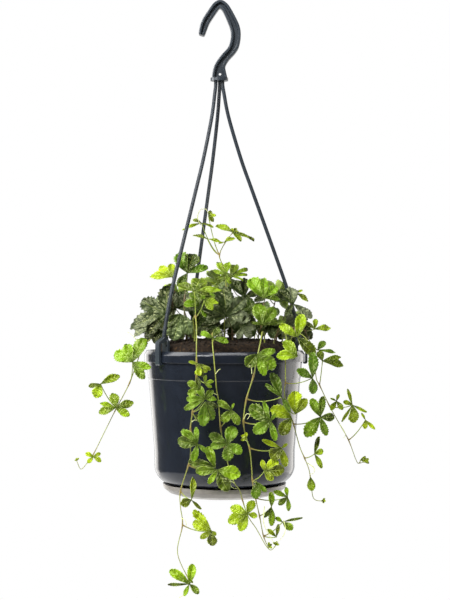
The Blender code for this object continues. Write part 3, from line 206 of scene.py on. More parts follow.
STEMS = [
    Stem("stem_trailing_left", 0.9,
         [(-62, -18, -12), (-62, -18, 9), (-72, -21, 12), (-82, -24, 2), (-88, -26, -14), (-95, -27, -33),
          (-102, -28, -47), (-108, -28, -58), (-120, -28, -82), (-131, -28, -104), (-139, -28, -115), (-144, -28, -119),
          (-148, -28, -110)],
         [Leaf(5, -92, -42, -12, -15, 20, [(-110, -3, 0.55), (-98, 6, 0.5), (-80, 12, 0.5), (-74, -19, 0.4),
                                           (-79, -28, 0.45)]),
          Leaf(7, -124, -32, -34, 0, 20, [(-129, -48, 0.75), (-136, -37, 0.4), (-105, -25, 0.4)]),
          Leaf(7, -109, -34, -58, 0, 20, [(-126, -62, 0.5), (-124, -52, 0.3), (-110, -43, 0.6), (-91, -52, 0.45),
                                          (-95, -66, 0.5)]),
          Leaf(9, -131, -32, -107, 0, 20, [(-137, -113, 0.55), (-139, -103, 0.5), (-124, -103, 0.5),
                                           (-123, -111, 0.55)])]),
    Stem("stem_trailing_centre_left", 1.1,
         [(-30, -38, -12), (-30, -38, 16), (-31, -50, 31), (-29, -64, 33), (-28, -77, 22), (-28, -85, 6),
          (-28, -88, -12), (-28, -88, -26), (-30, -88, -45), (-32, -88, -62), (-34, -88, -79), (-34, -87, -104),
          (-36, -87, -115), (-44, -86, -141), (-44, -86, -157), (-42, -85, -175), (-47, -84, -203), (-36, -84, -229)],
         [Leaf(3, -30, -66, 59, -10, 45, [(-48, 65, 0.4), (-24, 72, 0.65), (-2, 60, 0.3), (-15, 54, 0.45)]),
          Fan(3, -20, -74, 50, 14, 95, 10, 50, 3),
          Leaf(6, -26, -95, -14, 0, 10, [(-36, -12, 0.3), (-14, -20, 0.3), (-25, -26, 0.5)]),
          Leaf(7, -20, -97, -33, 0, 10, [(-19, -25, 0.4), (-11, -31, 0.4), (-13, -38, 0.4)]),
          Leaf(8, -25, -95, -39, 0, 10, [(-37, -44, 0.55), (-37, -32, 0.5), (-27, -27, 0.4)]),
          Leaf(9, -20, -98, -49, 0, 15, [(-40, -60, 0.3), (-38, -50, 0.45), (-27, -36, 0.5), (-12, -40, 0.5),
                                         (-8, -49, 0.4)]),
          Leaf(9, -19, -105, -52, 10, 15, [(-23, -76, 0.5), (-7, -57, 0.4), (-11, -70, 0.5)]),
          Leaf(10, -27, -97, -94, 0, 10, [(-31, -112, 0.4), (-47, -92, 0.62), (-42, -79, 0.4), (-29, -77, 0.3),
                                          (-16, -103, 0.35)]),
          Leaf(12, -9, -95, -117, 0, 10, [(-36, -111, 0.32), (-18, -97, 0.4)]),
          Leaf(12, -7, -101, -120, 0, 15, [(-16, -134, 0.35), (-29, -122, 0.42), (16, -125, 0.6), (2, -142, 0.55)]),
          Leaf(13, -33, -95, -150, 20, 10, [(-44, -154, 0.8), (-31, -127, 0.25), (-24, -160, 0.25)]),
          Leaf(15, -13, -92, -181, 0, 15, [(-12, -196, 0.7), (-24, -189, 0.45), (-31, -171, 0.6), (-32, -161, 0.35),
                                           (-8, -185, 0.6)]),
          Leaf(17, -35, -88, -234, 0, 20, [(-41, -246, 0.35), (-57, -236, 0.14), (-54, -219, 0.38), (-31, -214, 0.42),
                                           (-25, -243, 0.5)])]),
    Stem("stem_trailing_centre", 1.0,
         [(-11, -52, -12), (-11, -52, 14), (-12, -68, 16), (-12, -80, 6), (-11, -87, -4), (-9, -88, -26),
          (-8, -88, -39), (-6, -88, -51), (-4, -88, -77), (0, -87, -98), (5, -87, -120), (10, -87, -133),
          (15, -87, -140), (18, -88, -150), (24, -88, -167), (32, -89, -179), (41, -89, -195), (46, -89, -200),
          (50, -89, -197)],
         [Leaf(2, -12, -78, 12, 0, 30, [(-24, 17, 0.45), (-5, 22, 0.45), (4, 7, 0.4)]),
          Leaf(8, 7, -95, -60, 0, 15, [(-2, -72, 0.65), (-7, -51, 0.4), (9, -53, 0.3), (14, -75, 0.5)]),
          Leaf(9, 3, -97, -94, 0, 15, [(4, -111, 0.7), (-14, -96, 0.5), (-15, -84, 0.45), (9, -76, 0.65),
                                       (18, -102, 0.6)]),
          Leaf(13, 23, -95, -164, 0, 15, [(15, -181, 0.55), (3, -171, 0.55), (6, -157, 0.55), (28, -150, 0.6),
                                          (33, -166, 0.6)])]),
    Stem("stem_trailing_centre_right", 1.1,
         [(40, -42, -12), (40, -42, 12), (38, -60, 18), (36, -76, 8), (33, -83, -6), (29, -86, -26), (22, -87, -49),
          (19, -87, -72), (22, -86, -89), (25, -86, -98), (27, -85, -116), (28, -85, -131), (31, -83, -148),
          (35, -81, -166), (39, -80, -186), (44, -80, -198)],
         [Leaf(5, 33, -94, -4, 5, 20, [(22, -17, 0.75), (51, -1, 0.4), (50, -19, 0.65), (39, -26, 0.4)]),
          Leaf(6, 57, -91, -47, 10, 15, [(41, -34, 0.25), (48, -22, 0.35), (66, -62, 0.35)]),
          Leaf(7, 46, -94, -71, 5, 15, [(30, -84, 0.6), (24, -58, 0.6), (38, -51, 0.22), (51, -64, 0.4),
                                        (51, -91, 0.35)]),
          Leaf(9, 57, -89, -98, 5, 15, [(46, -108, 0.9), (37, -91, 0.25), (63, -94, 0.4), (61, -117, 0.42)]),
          Leaf(11, 40, -94, -121, 0, 15, [(48, -131, 0.6), (37, -110, 0.45), (53, -110, 0.6), (60, -121, 0.6)]),
          Leaf(11, 32, -90, -132, 0, 10, [(32, -149, 0.6), (42, -142, 0.35)]),
          Leaf(12, 63, -87, -147, 0, 15, [(54, -155, 0.5), (49, -141, 0.35), (61, -137, 0.4), (65, -161, 0.35)]),
          Leaf(13, 47, -87, -157, 20, 10, [(47, -176, 0.4), (40, -168, 0.35), (46, -142, 0.45)]),
          Leaf(14, 58, -84, -172, 0, 15, [(51, -167, 0.5), (78, -167, 0.13), (68, -180, 0.6)]),
          Leaf(14, 52, -83, -187, 0, 10, [(43, -179, 0.35), (54, -174, 0.3)])]),
    Stem("stem_trailing_right", 1.0,
         [(58, -24, -12), (58, -24, 12), (61, -40, 16), (62, -54, 7), (61, -61, -8), (61, -62, -20), (61, -62, -33),
          (60, -62, -44), (64, -61, -59), (69, -60, -74), (75, -59, -96), (80, -58, -108), (84, -57, -118),
          (86, -57, -128), (88, -57, -145), (91, -57, -150), (97, -57, -151)],
         [Leaf(4, 73, -72, -6, 0, 20, [(52, -5, 0.5), (59, 9, 0.5)]),
          Leaf(6, 88, -66, -28, 10, 10, [(72, -20, 0.5), (89, -2, 0.4), (89, -44, 0.6)]),
          Leaf(8, 71, -74, -64, 5, 10, [(69, -41, 0.65), (81, -48, 0.5)]),
          Leaf(8, 67, -70, -68, 5, 10, [(55, -84, 0.65), (47, -57, 0.6)]),
          Leaf(9, 96, -64, -67, 5, 10, [(86, -49, 0.45), (97, -46, 0.35), (110, -68, 0.6), (101, -86, 0.4),
                                        (79, -85, 0.55)]),
          Leaf(11, 90, -60, -104, 10, 15, [(93, -86, 0.25), (99, -101, 0.6), (98, -118, 0.35)]),
          Leaf(13, 86, -62, -127, 0, 10, [(87, -141, 0.6)])]),
    Stem("stem_trailing_far_right", 0.9,
         [(66, -8, -12), (66, -8, 10), (76, -12, 16), (86, -16, 4), (90, -18, -15), (92, -18, -29), (95, -18, -35),
          (105, -18, -56), (115, -18, -74), (124, -18, -90), (132, -18, -111), (135, -18, -113), (139, -18, -112)],
         [Leaf(6, 98, -25, -11, 0, 30, [(94, -1, 0.6), (116, -6, 0.25), (119, -15, 0.4)]),
          Leaf(7, 112, -24, -51, 0, 15, [(106, -60, 0.5), (106, -48, 0.3), (114, -44, 0.4), (118, -60, 0.5)]),
          Leaf(7, 128, -22, -55, 0, 15, [(128, -73, 0.65), (117, -72, 0.15), (119, -51, 0.5), (122, -39, 0.2),
                                         (142, -63, 0.2)]),
          Leaf(9, 141, -20, -70, 0, 15, [(140, -79, 0.6), (137, -63, 0.3), (150, -80, 0.28)]),
          Leaf(11, 136, -20, -110, 0, 15, [(141, -106, 0.3), (144, -112, 0.4)])]),
    Stem("shoot_left", 1.2,
         [(-46, -14, -12), (-46, -14, 14), (-50, -16, 30), (-52, -18, 46), (-50, -18, 58)],
         [Leaf(2, -59, -30, 36, -15, 25, [(-76, 15, 0.5), (-95, 24, 0.4), (-84, 48, 0.5), (-57, 64, 0.5)]),
          Fan(3, -48, -8, 42, 24, 340, -5, 30),
          Leaf(4, -52, -22, 73, -10, 30, [(-74, 75, 0.42), (-66, 82, 0.45), (-54, 86, 0.45)]),
          Fan(2, -72, 4, 24, 20, 250, -25, 45), Fan(1, -66, -30, 21, 15, 225, -20, 15, 4)]),
    Stem("shoot_centre_left", 1.2,
         [(-38, -26, -12), (-38, -26, 14), (-40, -30, 28), (-40, -30, 50), (-38, -26, 66)],
         [Leaf(2, -44, -36, 36, -5, 15, [(-50, 9, 0.7), (-60, 24, 0.5), (-33, 16, 0.6)]),
          Leaf(4, -37, -28, 77, 0, 20, [(-46, 63, 0.5), (-47, 97, 0.6), (-31, 96, 0.75), (-17, 84, 0.4)]),
          Fan(3, -24, -36, 44, 22, 30, 5, 35), Fan(1, -19, -30, 27, 15, 120, 10, 10, 4)]),
    Stem("shoot_tall", 1.0,
         [(0, -10, -12), (0, -10, 30), (2, -10, 60), (-2, -8, 84), (-5, -8, 95), (1, -8, 108), (8, -8, 117)],
         [Leaf(2, 1, -12, 75, 0, 30, [(-12, 79, 0.3), (-7, 88, 0.35), (3, 88, 0.4), (6, 66, 0.4), (-9, 70, 0.3)]),
          Leaf(2, 6, -18, 74, 10, 40, [(12, 85, 0.45), (24, 80, 0.25), (23, 75, 0.25), (19, 70, 0.25)]),
          Leaf(4, -17, -10, 111, 0, 50, [(-31, 115, 0.3), (-2, 107, 0.3)]),
          Leaf(5, 0, -12, 108, 0, 50, [(10, 112, 0.5), (-6, 106, 0.4)]),
          Leaf(6, 8, -10, 118, 0, 40, [(-8, 125, 0.4), (30, 110, 0.2), (17, 109, 0.4)]),
          Leaf(4, -23, -10, 127, 0, 40, [(-42, 120, 0.2), (-32, 130, 0.4), (-11, 123, 0.25)]),
          Fan(4, -16, -6, 134, 8, 75, 0, 30, 3), Fan(2, -18, -4, 62, 22, 285, 0, 60)]),
    Stem("shoot_centre", 1.2,
         [(8, -34, -12), (8, -34, 16), (5, -38, 28), (3, -40, 34)],
         [Leaf(3, 2, -48, 34, 0, 20, [(-20, 27, 0.4), (-25, 45, 0.5), (-1, 63, 0.55), (22, 51, 0.5), (26, 32, 0.55)]),
          Fan(1, -9, -50, 24, 15, 240, -10, 10, 4), Fan(1, 18, -49, 23, 14, 115, 10, 10, 4)]),
    Stem("shoot_centre_right", 1.2,
         [(34, -22, -12), (34, -22, 14), (37, -28, 24), (39, -30, 44), (40, -28, 50)],
         [Leaf(4, 39, -34, 52, 5, 25, [(25, 71, 0.6), (40, 72, 0.4), (53, 63, 0.5), (55, 52, 0.35)]),
          Leaf(2, 38, -48, 25, 5, 20, [(27, 28, 0.3), (32, 46, 0.6), (52, 41, 0.5), (61, 28, 0.2)]),
          Fan(3, 28, -18, 40, 15, 325, -5, 30, 4)]),
    Stem("shoot_right", 1.2,
         [(52, 2, -12), (52, 2, 14), (60, -6, 34), (65, -12, 44)],
         [Leaf(3, 69, -20, 46, 10, 25, [(60, 34, 0.4), (53, 59, 0.55), (67, 63, 0.55), (87, 31, 0.4)]),
          Leaf(3, 72, -14, 57, 10, 35, [(84, 49, 0.4), (78, 60, 0.35)]),
          Fan(1, 62, -2, 24, 15, 110, 20, 15, 4)]),
    Stem("shoot_far_right", 1.1,
         [(50, -36, -12), (50, -36, 12), (60, -42, 22), (70, -43, 22), (80, -42, 20)],
         [Leaf(3, 73, -52, 13, 10, 15, [(55, 25, 0.45), (76, 36, 0.45), (89, -6, 0.5)]),
          Leaf(4, 90, -42, 21, 10, 30, [(81, 28, 0.4), (91, 31, 0.4), (106, 22, 0.4)]),
          Leaf(4, 93, -46, 0, 5, 25, [(100, 9, 0.5), (111, -2, 0.2)])]),
    Stem("shoot_middle", 1.2,
         [(18, 8, -12), (18, 8, 18), (20, 8, 34), (20, 6, 50)],
         [Leaf(3, 20, 0, 53, 5, 25, [(7, 69, 0.5), (20, 72, 0.4), (33, 58, 0.5), (26, 44, 0.5)]),
          Fan(2, 38, 6, 34, 20, 60, 10, 30), Fan(2, -4, 2, 46, 24, 300, 0, 35), Fan(1, 16, -6, 34, 20, 180, 0, 25),
          Fan(3, 8, 16, 62, 15, 330, 0, 40, 4)]),
    Stem("shoot_back_left", 1.2,
         [(-34, 22, -12), (-34, 22, 16), (-38, 28, 32), (-42, 30, 46)],
         [Fan(2, -62, 32, 28, 25, 270, 215, 35), Fan(3, -46, 38, 52, 24, 330, 190, 35),
          Fan(1, -40, 50, 25, 22, 200, 180, 30), Fan(2, -52, 14, 46, 21, 345, -10, 25),
          Fan(1, -30, 8, 30, 15, 70, 0, 15, 4)]),
    Stem("shoot_back", 1.2,
         [(0, 34, -12), (0, 34, 18), (2, 38, 34), (2, 40, 52)],
         [Fan(3, -4, 46, 66, 23, 340, 175, 40), Fan(2, 16, 52, 42, 23, 80, 165, 35),
          Fan(2, -14, 56, 32, 23, 260, 195, 35), Fan(1, -10, 22, 36, 23, 290, 0, 20),
          Fan(1, 8, 24, 27, 16, 160, 0, 10, 4)]),
    Stem("shoot_back_right", 1.2,
         [(38, 24, -12), (38, 24, 16), (46, 28, 32), (50, 28, 46)],
         [Fan(3, 52, 32, 54, 23, 30, 150, 35), Fan(2, 68, 32, 28, 24, 95, 140, 35),
          Fan(2, 54, 46, 26, 20, 150, 150, 30), Fan(2, 66, 14, 24, 25, 110, 10, 20), Fan(3, 44, 20, 54, 20, 0, 0, 30),
          Fan(1, 46, 8, 26, 15, 200, 0, 15, 4), Fan(1, 31, 14, 26, 15, 170, 0, 10, 4)]),
    Stem("stem_trailing_back_left", 1.0,
         [(-12, 50, -12), (-12, 50, 12), (-13, 64, 16), (-14, 78, 6), (-14, 86, -8), (-16, 87, -32), (-14, 87, -58),
          (-18, 86, -84), (-16, 85, -106)],
         [Fan(4, -4, 94, -20, 20, 170, 175, 25), Fan(5, -32, 93, -42, 19, 240, 190, 20),
          Fan(6, -2, 94, -66, 19, 140, 175, 20), Fan(7, -32, 92, -90, 18, 220, 185, 20)]),
    Stem("stem_trailing_back_right", 1.0,
         [(30, 46, -12), (30, 46, 12), (32, 60, 16), (35, 74, 6), (37, 81, -8), (36, 83, -30), (40, 82, -54),
          (36, 82, -78)],
         [Fan(4, 48, 84, -18, 20, 150, 155, 25), Fan(5, 24, 92, -34, 18, 230, 180, 20),
          Fan(6, 54, 84, -60, 19, 130, 155, 20), Fan(7, 34, 90, -84, 17, 190, 170, 20)]),
]

# How young each stem's leaves are, from 0, a dark mature leaf, to 1, a bright new one: the stem's own value, and those
# of the leaves that differ by their place in its list.
YOUTH = {
    "stem_trailing_left": (0.75, {0: 0.6, 3: 1.0}),
    "stem_trailing_centre_left": (0.6, {0: 0.8, 1: 0.75, 2: 0.95, 6: 0.5, 10: 0.95, 11: 0.85, 12: 0.75}),
    "stem_trailing_centre": (0.55, {2: 0.45, 3: 0.8}),
    "stem_trailing_centre_right": (0.6, {0: 0.5, 1: 0.45, 2: 0.5, 3: 0.95, 4: 0.95, 5: 0.5, 9: 1.0}),
    "stem_trailing_right": (0.75, {1: 0.45, 2: 0.85, 3: 0.9, 4: 0.65}),
    "stem_trailing_far_right": (0.85, {0: 0.75}),
    "stem_trailing_back_left": (0.65, {}),
    "stem_trailing_back_right": (0.65, {}),
    "shoot_left": (0.0, {2: 0.8}),
    "shoot_centre_left": (0.12, {1: 0.35, 2: 0.45}),
    "shoot_tall": (0.85, {0: 0.6, 1: 0.65}),
    "shoot_centre": (0.0, {}),
    "shoot_centre_right": (0.6, {2: 0.2}),
    "shoot_right": (0.05, {1: 0.85}),
    "shoot_far_right": (0.8, {2: 0.6}),
    "shoot_middle": (0.1, {}),
    "shoot_back_left": (0.15, {1: 0.5}),
    "shoot_back": (0.1, {0: 0.4}),
    "shoot_back_right": (0.15, {0: 0.4}),
}

# Tendrils and side shoots by stem, each a line of places as they appear.
TENDRILS = {
    "stem_trailing_left": [[(-84, -25, -4), (-88, -27, 9), (-92, -28, 14.5), (-97, -28, 18)]],
    "stem_trailing_centre_left": [
        [(-28, -88, -14), (-22, -91, -15.5), (-17, -92, -18), (-13.5, -92, -20)],
        [(-33, -88, -72), (-30, -90, -70), (-27.5, -90, -70.5)],
        [(-43, -85, -168), (-39, -88, -171), (-38, -88, -176)],
        [(-37, -86, -241), (-42, -86, -246), (-48, -86, -249)],
    ],
    "stem_trailing_centre": [
        [(-9, -88, -24), (-6, -90, -20), (-4, -90, -19)],
        [(-7, -88, -45), (-11, -90, -43), (-12, -90, -40)],
        [(10, -87, -133), (5, -90, -131), (7, -90, -137), (13, -90, -139)],
        [(40, -88, -156), (39, -89, -172), (44, -89, -184), (49.5, -89, -193)],
        [(59, -88, -170), (61, -89, -179), (58, -89, -187), (52, -89, -193)],
    ],
    "stem_trailing_centre_right": [
        [(27.5, -87, -24), (27, -89, -16), (29, -89, -12)],
        [(19, -87, -70), (22, -90, -64), (25.5, -90, -65), (23, -90, -69)],
        [(23.5, -86, -92), (18.5, -89, -88), (21, -90, -86)],
    ],
    "stem_trailing_right": [
        [(83, -57, -113), (89.5, -60, -118), (89, -60, -123), (85.5, -60, -124)],
    ],
    "stem_trailing_far_right": [[(115, -18, -74), (121, -20, -84), (119, -20, -88)]],
    "shoot_tall": [[(-24, -11, 125), (-27, -11, 133), (-24, -11, 140), (-19, -11, 141), (-17, -11, 138)]],
}

# Young leaf buds at the nodes and stem ends.
BUDS = {
    "stem_trailing_left": [Fan(12, -147, -28, -110, 3, 330, 0, 30, 3)],
    "stem_trailing_centre_left": [Fan(7, -24, -92, -19, 8, 170, 0, 20, 3), Fan(9, -28, -91, -69, 5, 60, 0, 20, 3),
                                  Fan(17, -34, -86, -230, 4, 200, 0, 30, 3)],
    "stem_trailing_centre": [Fan(18, 51, -89, -195, 4, 20, 0, 30, 3)],
    "stem_trailing_centre_right": [Fan(9, 22, -89, -88, 6, 300, 0, 20, 3), Fan(15, 44, -81, -196, 4, 60, 0, 20, 3)],
    "stem_trailing_right": [Fan(16, 98, -57, -150, 3.5, 110, 0, 20, 3)],
    "stem_trailing_far_right": [Fan(12, 140, -18, -111, 5, 60, 0, 20, 3)],
    "shoot_tall": [Fan(6, 9, -9, 118, 6, 30, 0, 30, 3)],
}

LEAFLET_ROWS = 18
LEAFLET_COLUMNS = 6
# The teeth start at this row and point this share of the leaflet's length towards its tip.
TOOTH_ROW = 8
TOOTH_LEAN = 0.016
TOOTH_EDGE = 0.99
LEAFLET_BASE = 0.35
# The powers that shape a leaflet's outline, the share of the angle to its neighbour that it may fill, and the most
# of that in radians.
OUTLINE_ALONG = 1.5
OUTLINE_FULL = 0.6
GAP_SHARE = 0.6
GAP_MOST = 1.3
# How the fold grows across a leaflet, and how its wave runs along and across it.
FOLD_CURVE = 1.2
WAVE_ALONG = 9.0
WAVE_ACROSS = 1.5

# The ranges from which a leaflet's share of the fold, its sway, wave and wave's start, and its share of the teeth come.
FOLD_SHARES = (0.8, 2.4)
SWAYS = (-0.08, 0.08)
WAVES = (0.03, 0.08)
WAVE_STARTS = (0.0, 6.0)
TOOTH_SHARES = (0.5, 1.2)
# How far a leaf's youth may be from its stem's.
YOUTH_SPREAD = 0.1

# A stem between and at its nodes, as shares of its radius, what its tip has lost of it, and how short its nodes are.
STEM_SHARE = 0.64
NODE_SHARE = 0.5
TIP_LOSS = 0.45
NODE_SHORTNESS = 5.0
STEM_BARK = 0.12
NODE_BARK = 0.4
STEM_STEPS = 6
STEM_SIDES = 10
STALK_BASE_RADIUS = 0.55
STALK_TIP_RADIUS = 0.4
STALK_SIDES = 7
# How much thicker a stalk is at the stem and at the hub, how far its bend lies behind and below the straight way as
# shares of its length, and how far behind the hub it ends.
STALK_FOOT = 1.5
STALK_HEAD = 1.4
STALK_BEHIND = 0.18
STALK_SAG = 0.16
STALK_END = 0.3
# How corky a stalk is from the stem to its hub. It has as many rings as this has values.
STALK_BARK = [0.6, 0.3, 0.1, 0.0, 0.0, 0.0, 0.0, 0.05]
TENDRIL_RADIUS = 0.32
TENDRIL_SIDES = 6
# A tendril's thickness at its foot and its loss to the tip, as shares of that radius.
TENDRIL_FOOT = 1.3
TENDRIL_LOSS = 0.7

# The photograph's height and the camera's shift in pixels, and the height of the camera's sensor.
PHOTO_HEIGHT = 600.0
PHOTO_SHIFT = (-0.5, 11.0)
SENSOR = 36.0
PLANT_MIDDLE = (0.0, 0.0, -0.38)
WARM_WHITE = (1.0, 0.97, 0.93)

# A Mix node's colour sockets have the same names as its others, so they go by number.
MIX_A, MIX_B, MIX_RESULT = 6, 7, 2


def linear(code):
    """An sRGB hex colour as three linear values."""
    values = [int(code[k:k + 2], 16) / 255 for k in (1, 3, 5)]
    return tuple(v / 12.92 if v <= 0.04045 else ((v + 0.055) / 1.055) ** 2.4 for v in values)


def colour_property(name, description, code):
    return FloatVectorProperty(name=name, description=description, subtype="COLOR", size=3, min=0.0, max=1.0,
                               default=linear(code))


def length_property(name, description, millimetres):
    return FloatProperty(name=name, description=description, subtype="DISTANCE", unit="LENGTH", min=0.0,
                         default=millimetres * MM)


class GrapeIvyPotSettings(PropertyGroup):
    segments: IntProperty(name="Segments", description="Facets round the pot and the tray", default=144, min=24)
    edge: length_property("Edge rounding", "Radius of the pot's and the tray's moulded edges", 0.5)
    pot_colour: colour_property("Pot colour", "Charcoal plastic of the pot", "#14181f")
    tray_colour: colour_property("Tray colour", "Warm grey plastic of the drip tray", "#6c6862")


class GrapeIvyHangerSettings(PropertyGroup):
    edge: length_property("Edge rounding", "Width of the hanger's moulded edges", 0.3)
    rod: length_property("Rod radius", "Half the thickness of an arm's rod", 1.8)
    colour: colour_property("Hanger colour", "Slate grey plastic of the hook and arms", "#242a30")


class GrapeIvySoilSettings(PropertyGroup):
    crumbs: IntProperty(name="Crumbs", description="Loose crumbs of peat on the soil", default=900, min=0)
    crumb: length_property("Crumb size", "Typical width of a crumb", 1.9)
    roughness: length_property("Unevenness", "Height of the soil's lumps", 1.6)
    colour: colour_property("Soil colour", "Damp peat potting soil", "#1d140b")


class GrapeIvyPlantSettings(PropertyGroup):
    leaf_thickness: length_property("Leaf thickness", "Thickness of a leaf blade", 0.3)
    tooth: FloatProperty(name="Tooth depth", description="Depth of the leaf teeth as a share of half the width",
                         subtype="FACTOR", default=0.09, min=0.0, max=0.3)
    young_colour: colour_property("Young leaf", "Upper side of a new leaf", "#788806")
    mature_colour: colour_property("Mature leaf", "Upper side of a full-grown leaf", "#1c2811")
    under_colour: colour_property("Leaf underside", "Paler lower side of the leaves", "#8f9c5c")
    vein_colour: colour_property("Veins", "Midribs and side veins", "#b4c55e")
    stem_colour: colour_property("Stem", "Olive green of the young stems", "#7b8c30")
    bark_colour: colour_property("Nodes", "Brown of the nodes and older stem", "#74622f")
    tendril_colour: colour_property("Tendrils", "Pale tendrils", "#d8dca0")


class GrapeIvyStageSettings(PropertyGroup):
    floor_drop: length_property("Floor distance", "How far the floor is below the lowest leaf", 260.0)
    floor_radius: length_property("Floor radius", "Radius of the round floor", 1200.0)
    key_power: FloatProperty(name="Key light", description="Power of the soft light at the upper left", unit="POWER",
                             default=55.0, min=0.0)
    top_power: FloatProperty(name="Top light", description="Power of the light above and in front", unit="POWER",
                             default=8.5, min=0.0)
    hanger_power: FloatProperty(name="Hanger light", description="Power of the light to the left of the hanger",
                                unit="POWER", default=18.0, min=0.0)
    edge_power: FloatProperty(name="Edge lights", description="Power of the lights behind either side",
                              unit="POWER", default=11.0, min=0.0)


def add_node(tree, kind, inputs, out=0, stops=(), **settings):
    """Adds a shader node: its inputs are values or the sockets that feed them, and stops are a colour ramp's."""
    made = tree.nodes.new("ShaderNode" + kind)
    for name, value in settings.items():
        setattr(made, name, value)
    for key, value in inputs.items():
        if isinstance(value, bpy.types.NodeSocket):
            tree.links.new(value, made.inputs[key])
        else:
            made.inputs[key].default_value = value
    if stops:
        ramp = made.color_ramp.elements
        while len(ramp) < len(stops):
            ramp.new(1.0)
        for element, (place, colour) in zip(ramp, stops):
            element.position = place
            element.color = (*colour, 1.0)
    return made.outputs[out]


def new_material(name, colour, values):
    """A Principled material, with the values for the shader's sockets. Gives it, its nodes and the shader's inputs."""
    made = bpy.data.materials.new(name)
    made.use_nodes = True
    tree = made.node_tree
    inputs = tree.nodes["Principled BSDF"].inputs
    inputs["Base Color"].default_value = (*colour, 1.0)
    for socket, value in values.items():
        inputs[socket].default_value = value
    return made, tree, inputs


def feed(tree, inputs, sources):
    """Links each source to the shader's socket of that name."""
    for name, source in sources.items():
        tree.links.new(source, inputs[name])


def darker(colour, share):
    return tuple(v * share for v in colour)


def moulded_polypropylene(name, colour, gloss, shine):
    """Injection-moulded polypropylene: softly glossy, with faint flow streaks up the wall and a fine grain."""
    made, tree, inputs = new_material(name, colour, {"IOR": 1.49, "Roughness": gloss, "Specular IOR Level": shine})
    place = add_node(tree, "TexCoord", {}, "Object")
    # The melt's flow lines are about 5 mm apart and run the height of the wall.
    stretched = add_node(tree, "Mapping", {"Vector": place, "Scale": (200.0, 200.0, 5.0)})
    flow = add_node(tree, "TexNoise", {"Vector": stretched, "Scale": 1.0, "Detail": 3.0}, "Fac")
    streaks = add_node(tree, "MapRange", {"Value": flow, "From Min": 0.3, "From Max": 0.7, "To Min": gloss - 0.03,
                                          "To Max": gloss + 0.03}, "Result")
    # Dust and handling marks are blotches some 12 mm wide.
    dust = add_node(tree, "TexNoise", {"Vector": place, "Scale": 80.0, "Detail": 5.0}, "Fac")
    shade = add_node(tree, "ValToRGB", {"Fac": dust}, stops=[(0.3, darker(colour, 0.85)), (0.75, darker(colour, 1.3))])
    # A moulded grain is about 0.1 mm; it is drawn at 0.8 mm, the finest that shows.
    grain = add_node(tree, "TexNoise", {"Vector": place, "Scale": 1250.0, "Detail": 2.0}, "Fac")
    bumps = add_node(tree, "Bump", {"Height": grain, "Strength": 0.06, "Distance": 0.0003}, "Normal")
    feed(tree, inputs, {"Roughness": streaks, "Base Color": shade, "Normal": bumps})
    return made


def damp_peat(name, colour):
    """Damp peat potting soil: dark, dull fibres and crumbs, with painted highlights in pale brown on the crumbs' tops
    and painted shade in the hollows between them.
    """
    made, tree, inputs = new_material(name, colour, {"Roughness": 0.95, "Specular IOR Level": 0.2})
    place = add_node(tree, "TexCoord", {}, "Object")
    # Crumbs of peat are about 3 mm across.
    crumb = add_node(tree, "TexNoise", {"Vector": place, "Scale": 330.0, "Detail": 6.0, "Roughness": 0.7}, "Fac")
    # Painted shade and highlight: the crumbs' height, which also drives the bumps, turns the hollows nearly black and
    # the tops pale brown.
    shade = add_node(tree, "ValToRGB", {"Fac": crumb}, stops=[
        (0.35, darker(colour, 0.25)), (0.55, colour), (0.7, linear("#46341f")), (0.82, linear("#80704f"))])
    bumps = add_node(tree, "Bump", {"Height": crumb, "Strength": 0.8, "Distance": 0.001}, "Normal")
    feed(tree, inputs, {"Base Color": shade, "Normal": bumps})
    return made


def vein_pattern(tree):
    """A leaflet's veins, distance from the midrib, swelling between side veins and place along it.

    They come from its UV map: u runs across it and v along it.
    """
    place = add_node(tree, "TexCoord", {}, "UV")
    across = add_node(tree, "SeparateXYZ", {"Vector": place}, "X")
    along = add_node(tree, "SeparateXYZ", {"Vector": place}, "Y")
    centred = add_node(tree, "Math", {0: across, 1: 0.5}, operation="SUBTRACT")
    offset = add_node(tree, "Math", {0: centred}, operation="ABSOLUTE")
    # The midrib of an 18 mm leaflet is about 0.6 mm wide.
    rib = add_node(tree, "MapRange", {"Value": offset, "From Min": 0.015, "From Max": 0.05, "To Min": 1.0,
                                      "To Max": 0.0}, "Result")
    # Five pairs of side veins, about 3 mm apart, climb towards the teeth.
    climb = add_node(tree, "Math", {0: offset, 1: -0.34, 2: along}, operation="MULTIPLY_ADD")
    spaced = add_node(tree, "Math", {0: climb, 1: 6.0}, operation="MULTIPLY")
    phase = add_node(tree, "Math", {0: spaced, 1: 0.5}, operation="PINGPONG")
    side = add_node(tree, "MapRange", {"Value": phase, "From Min": 0.0, "From Max": 0.1, "To Min": 0.12,
                                       "To Max": 0.0}, "Result")
    veins = add_node(tree, "Math", {0: rib, 1: side}, operation="MAXIMUM")
    return veins, offset, phase, along


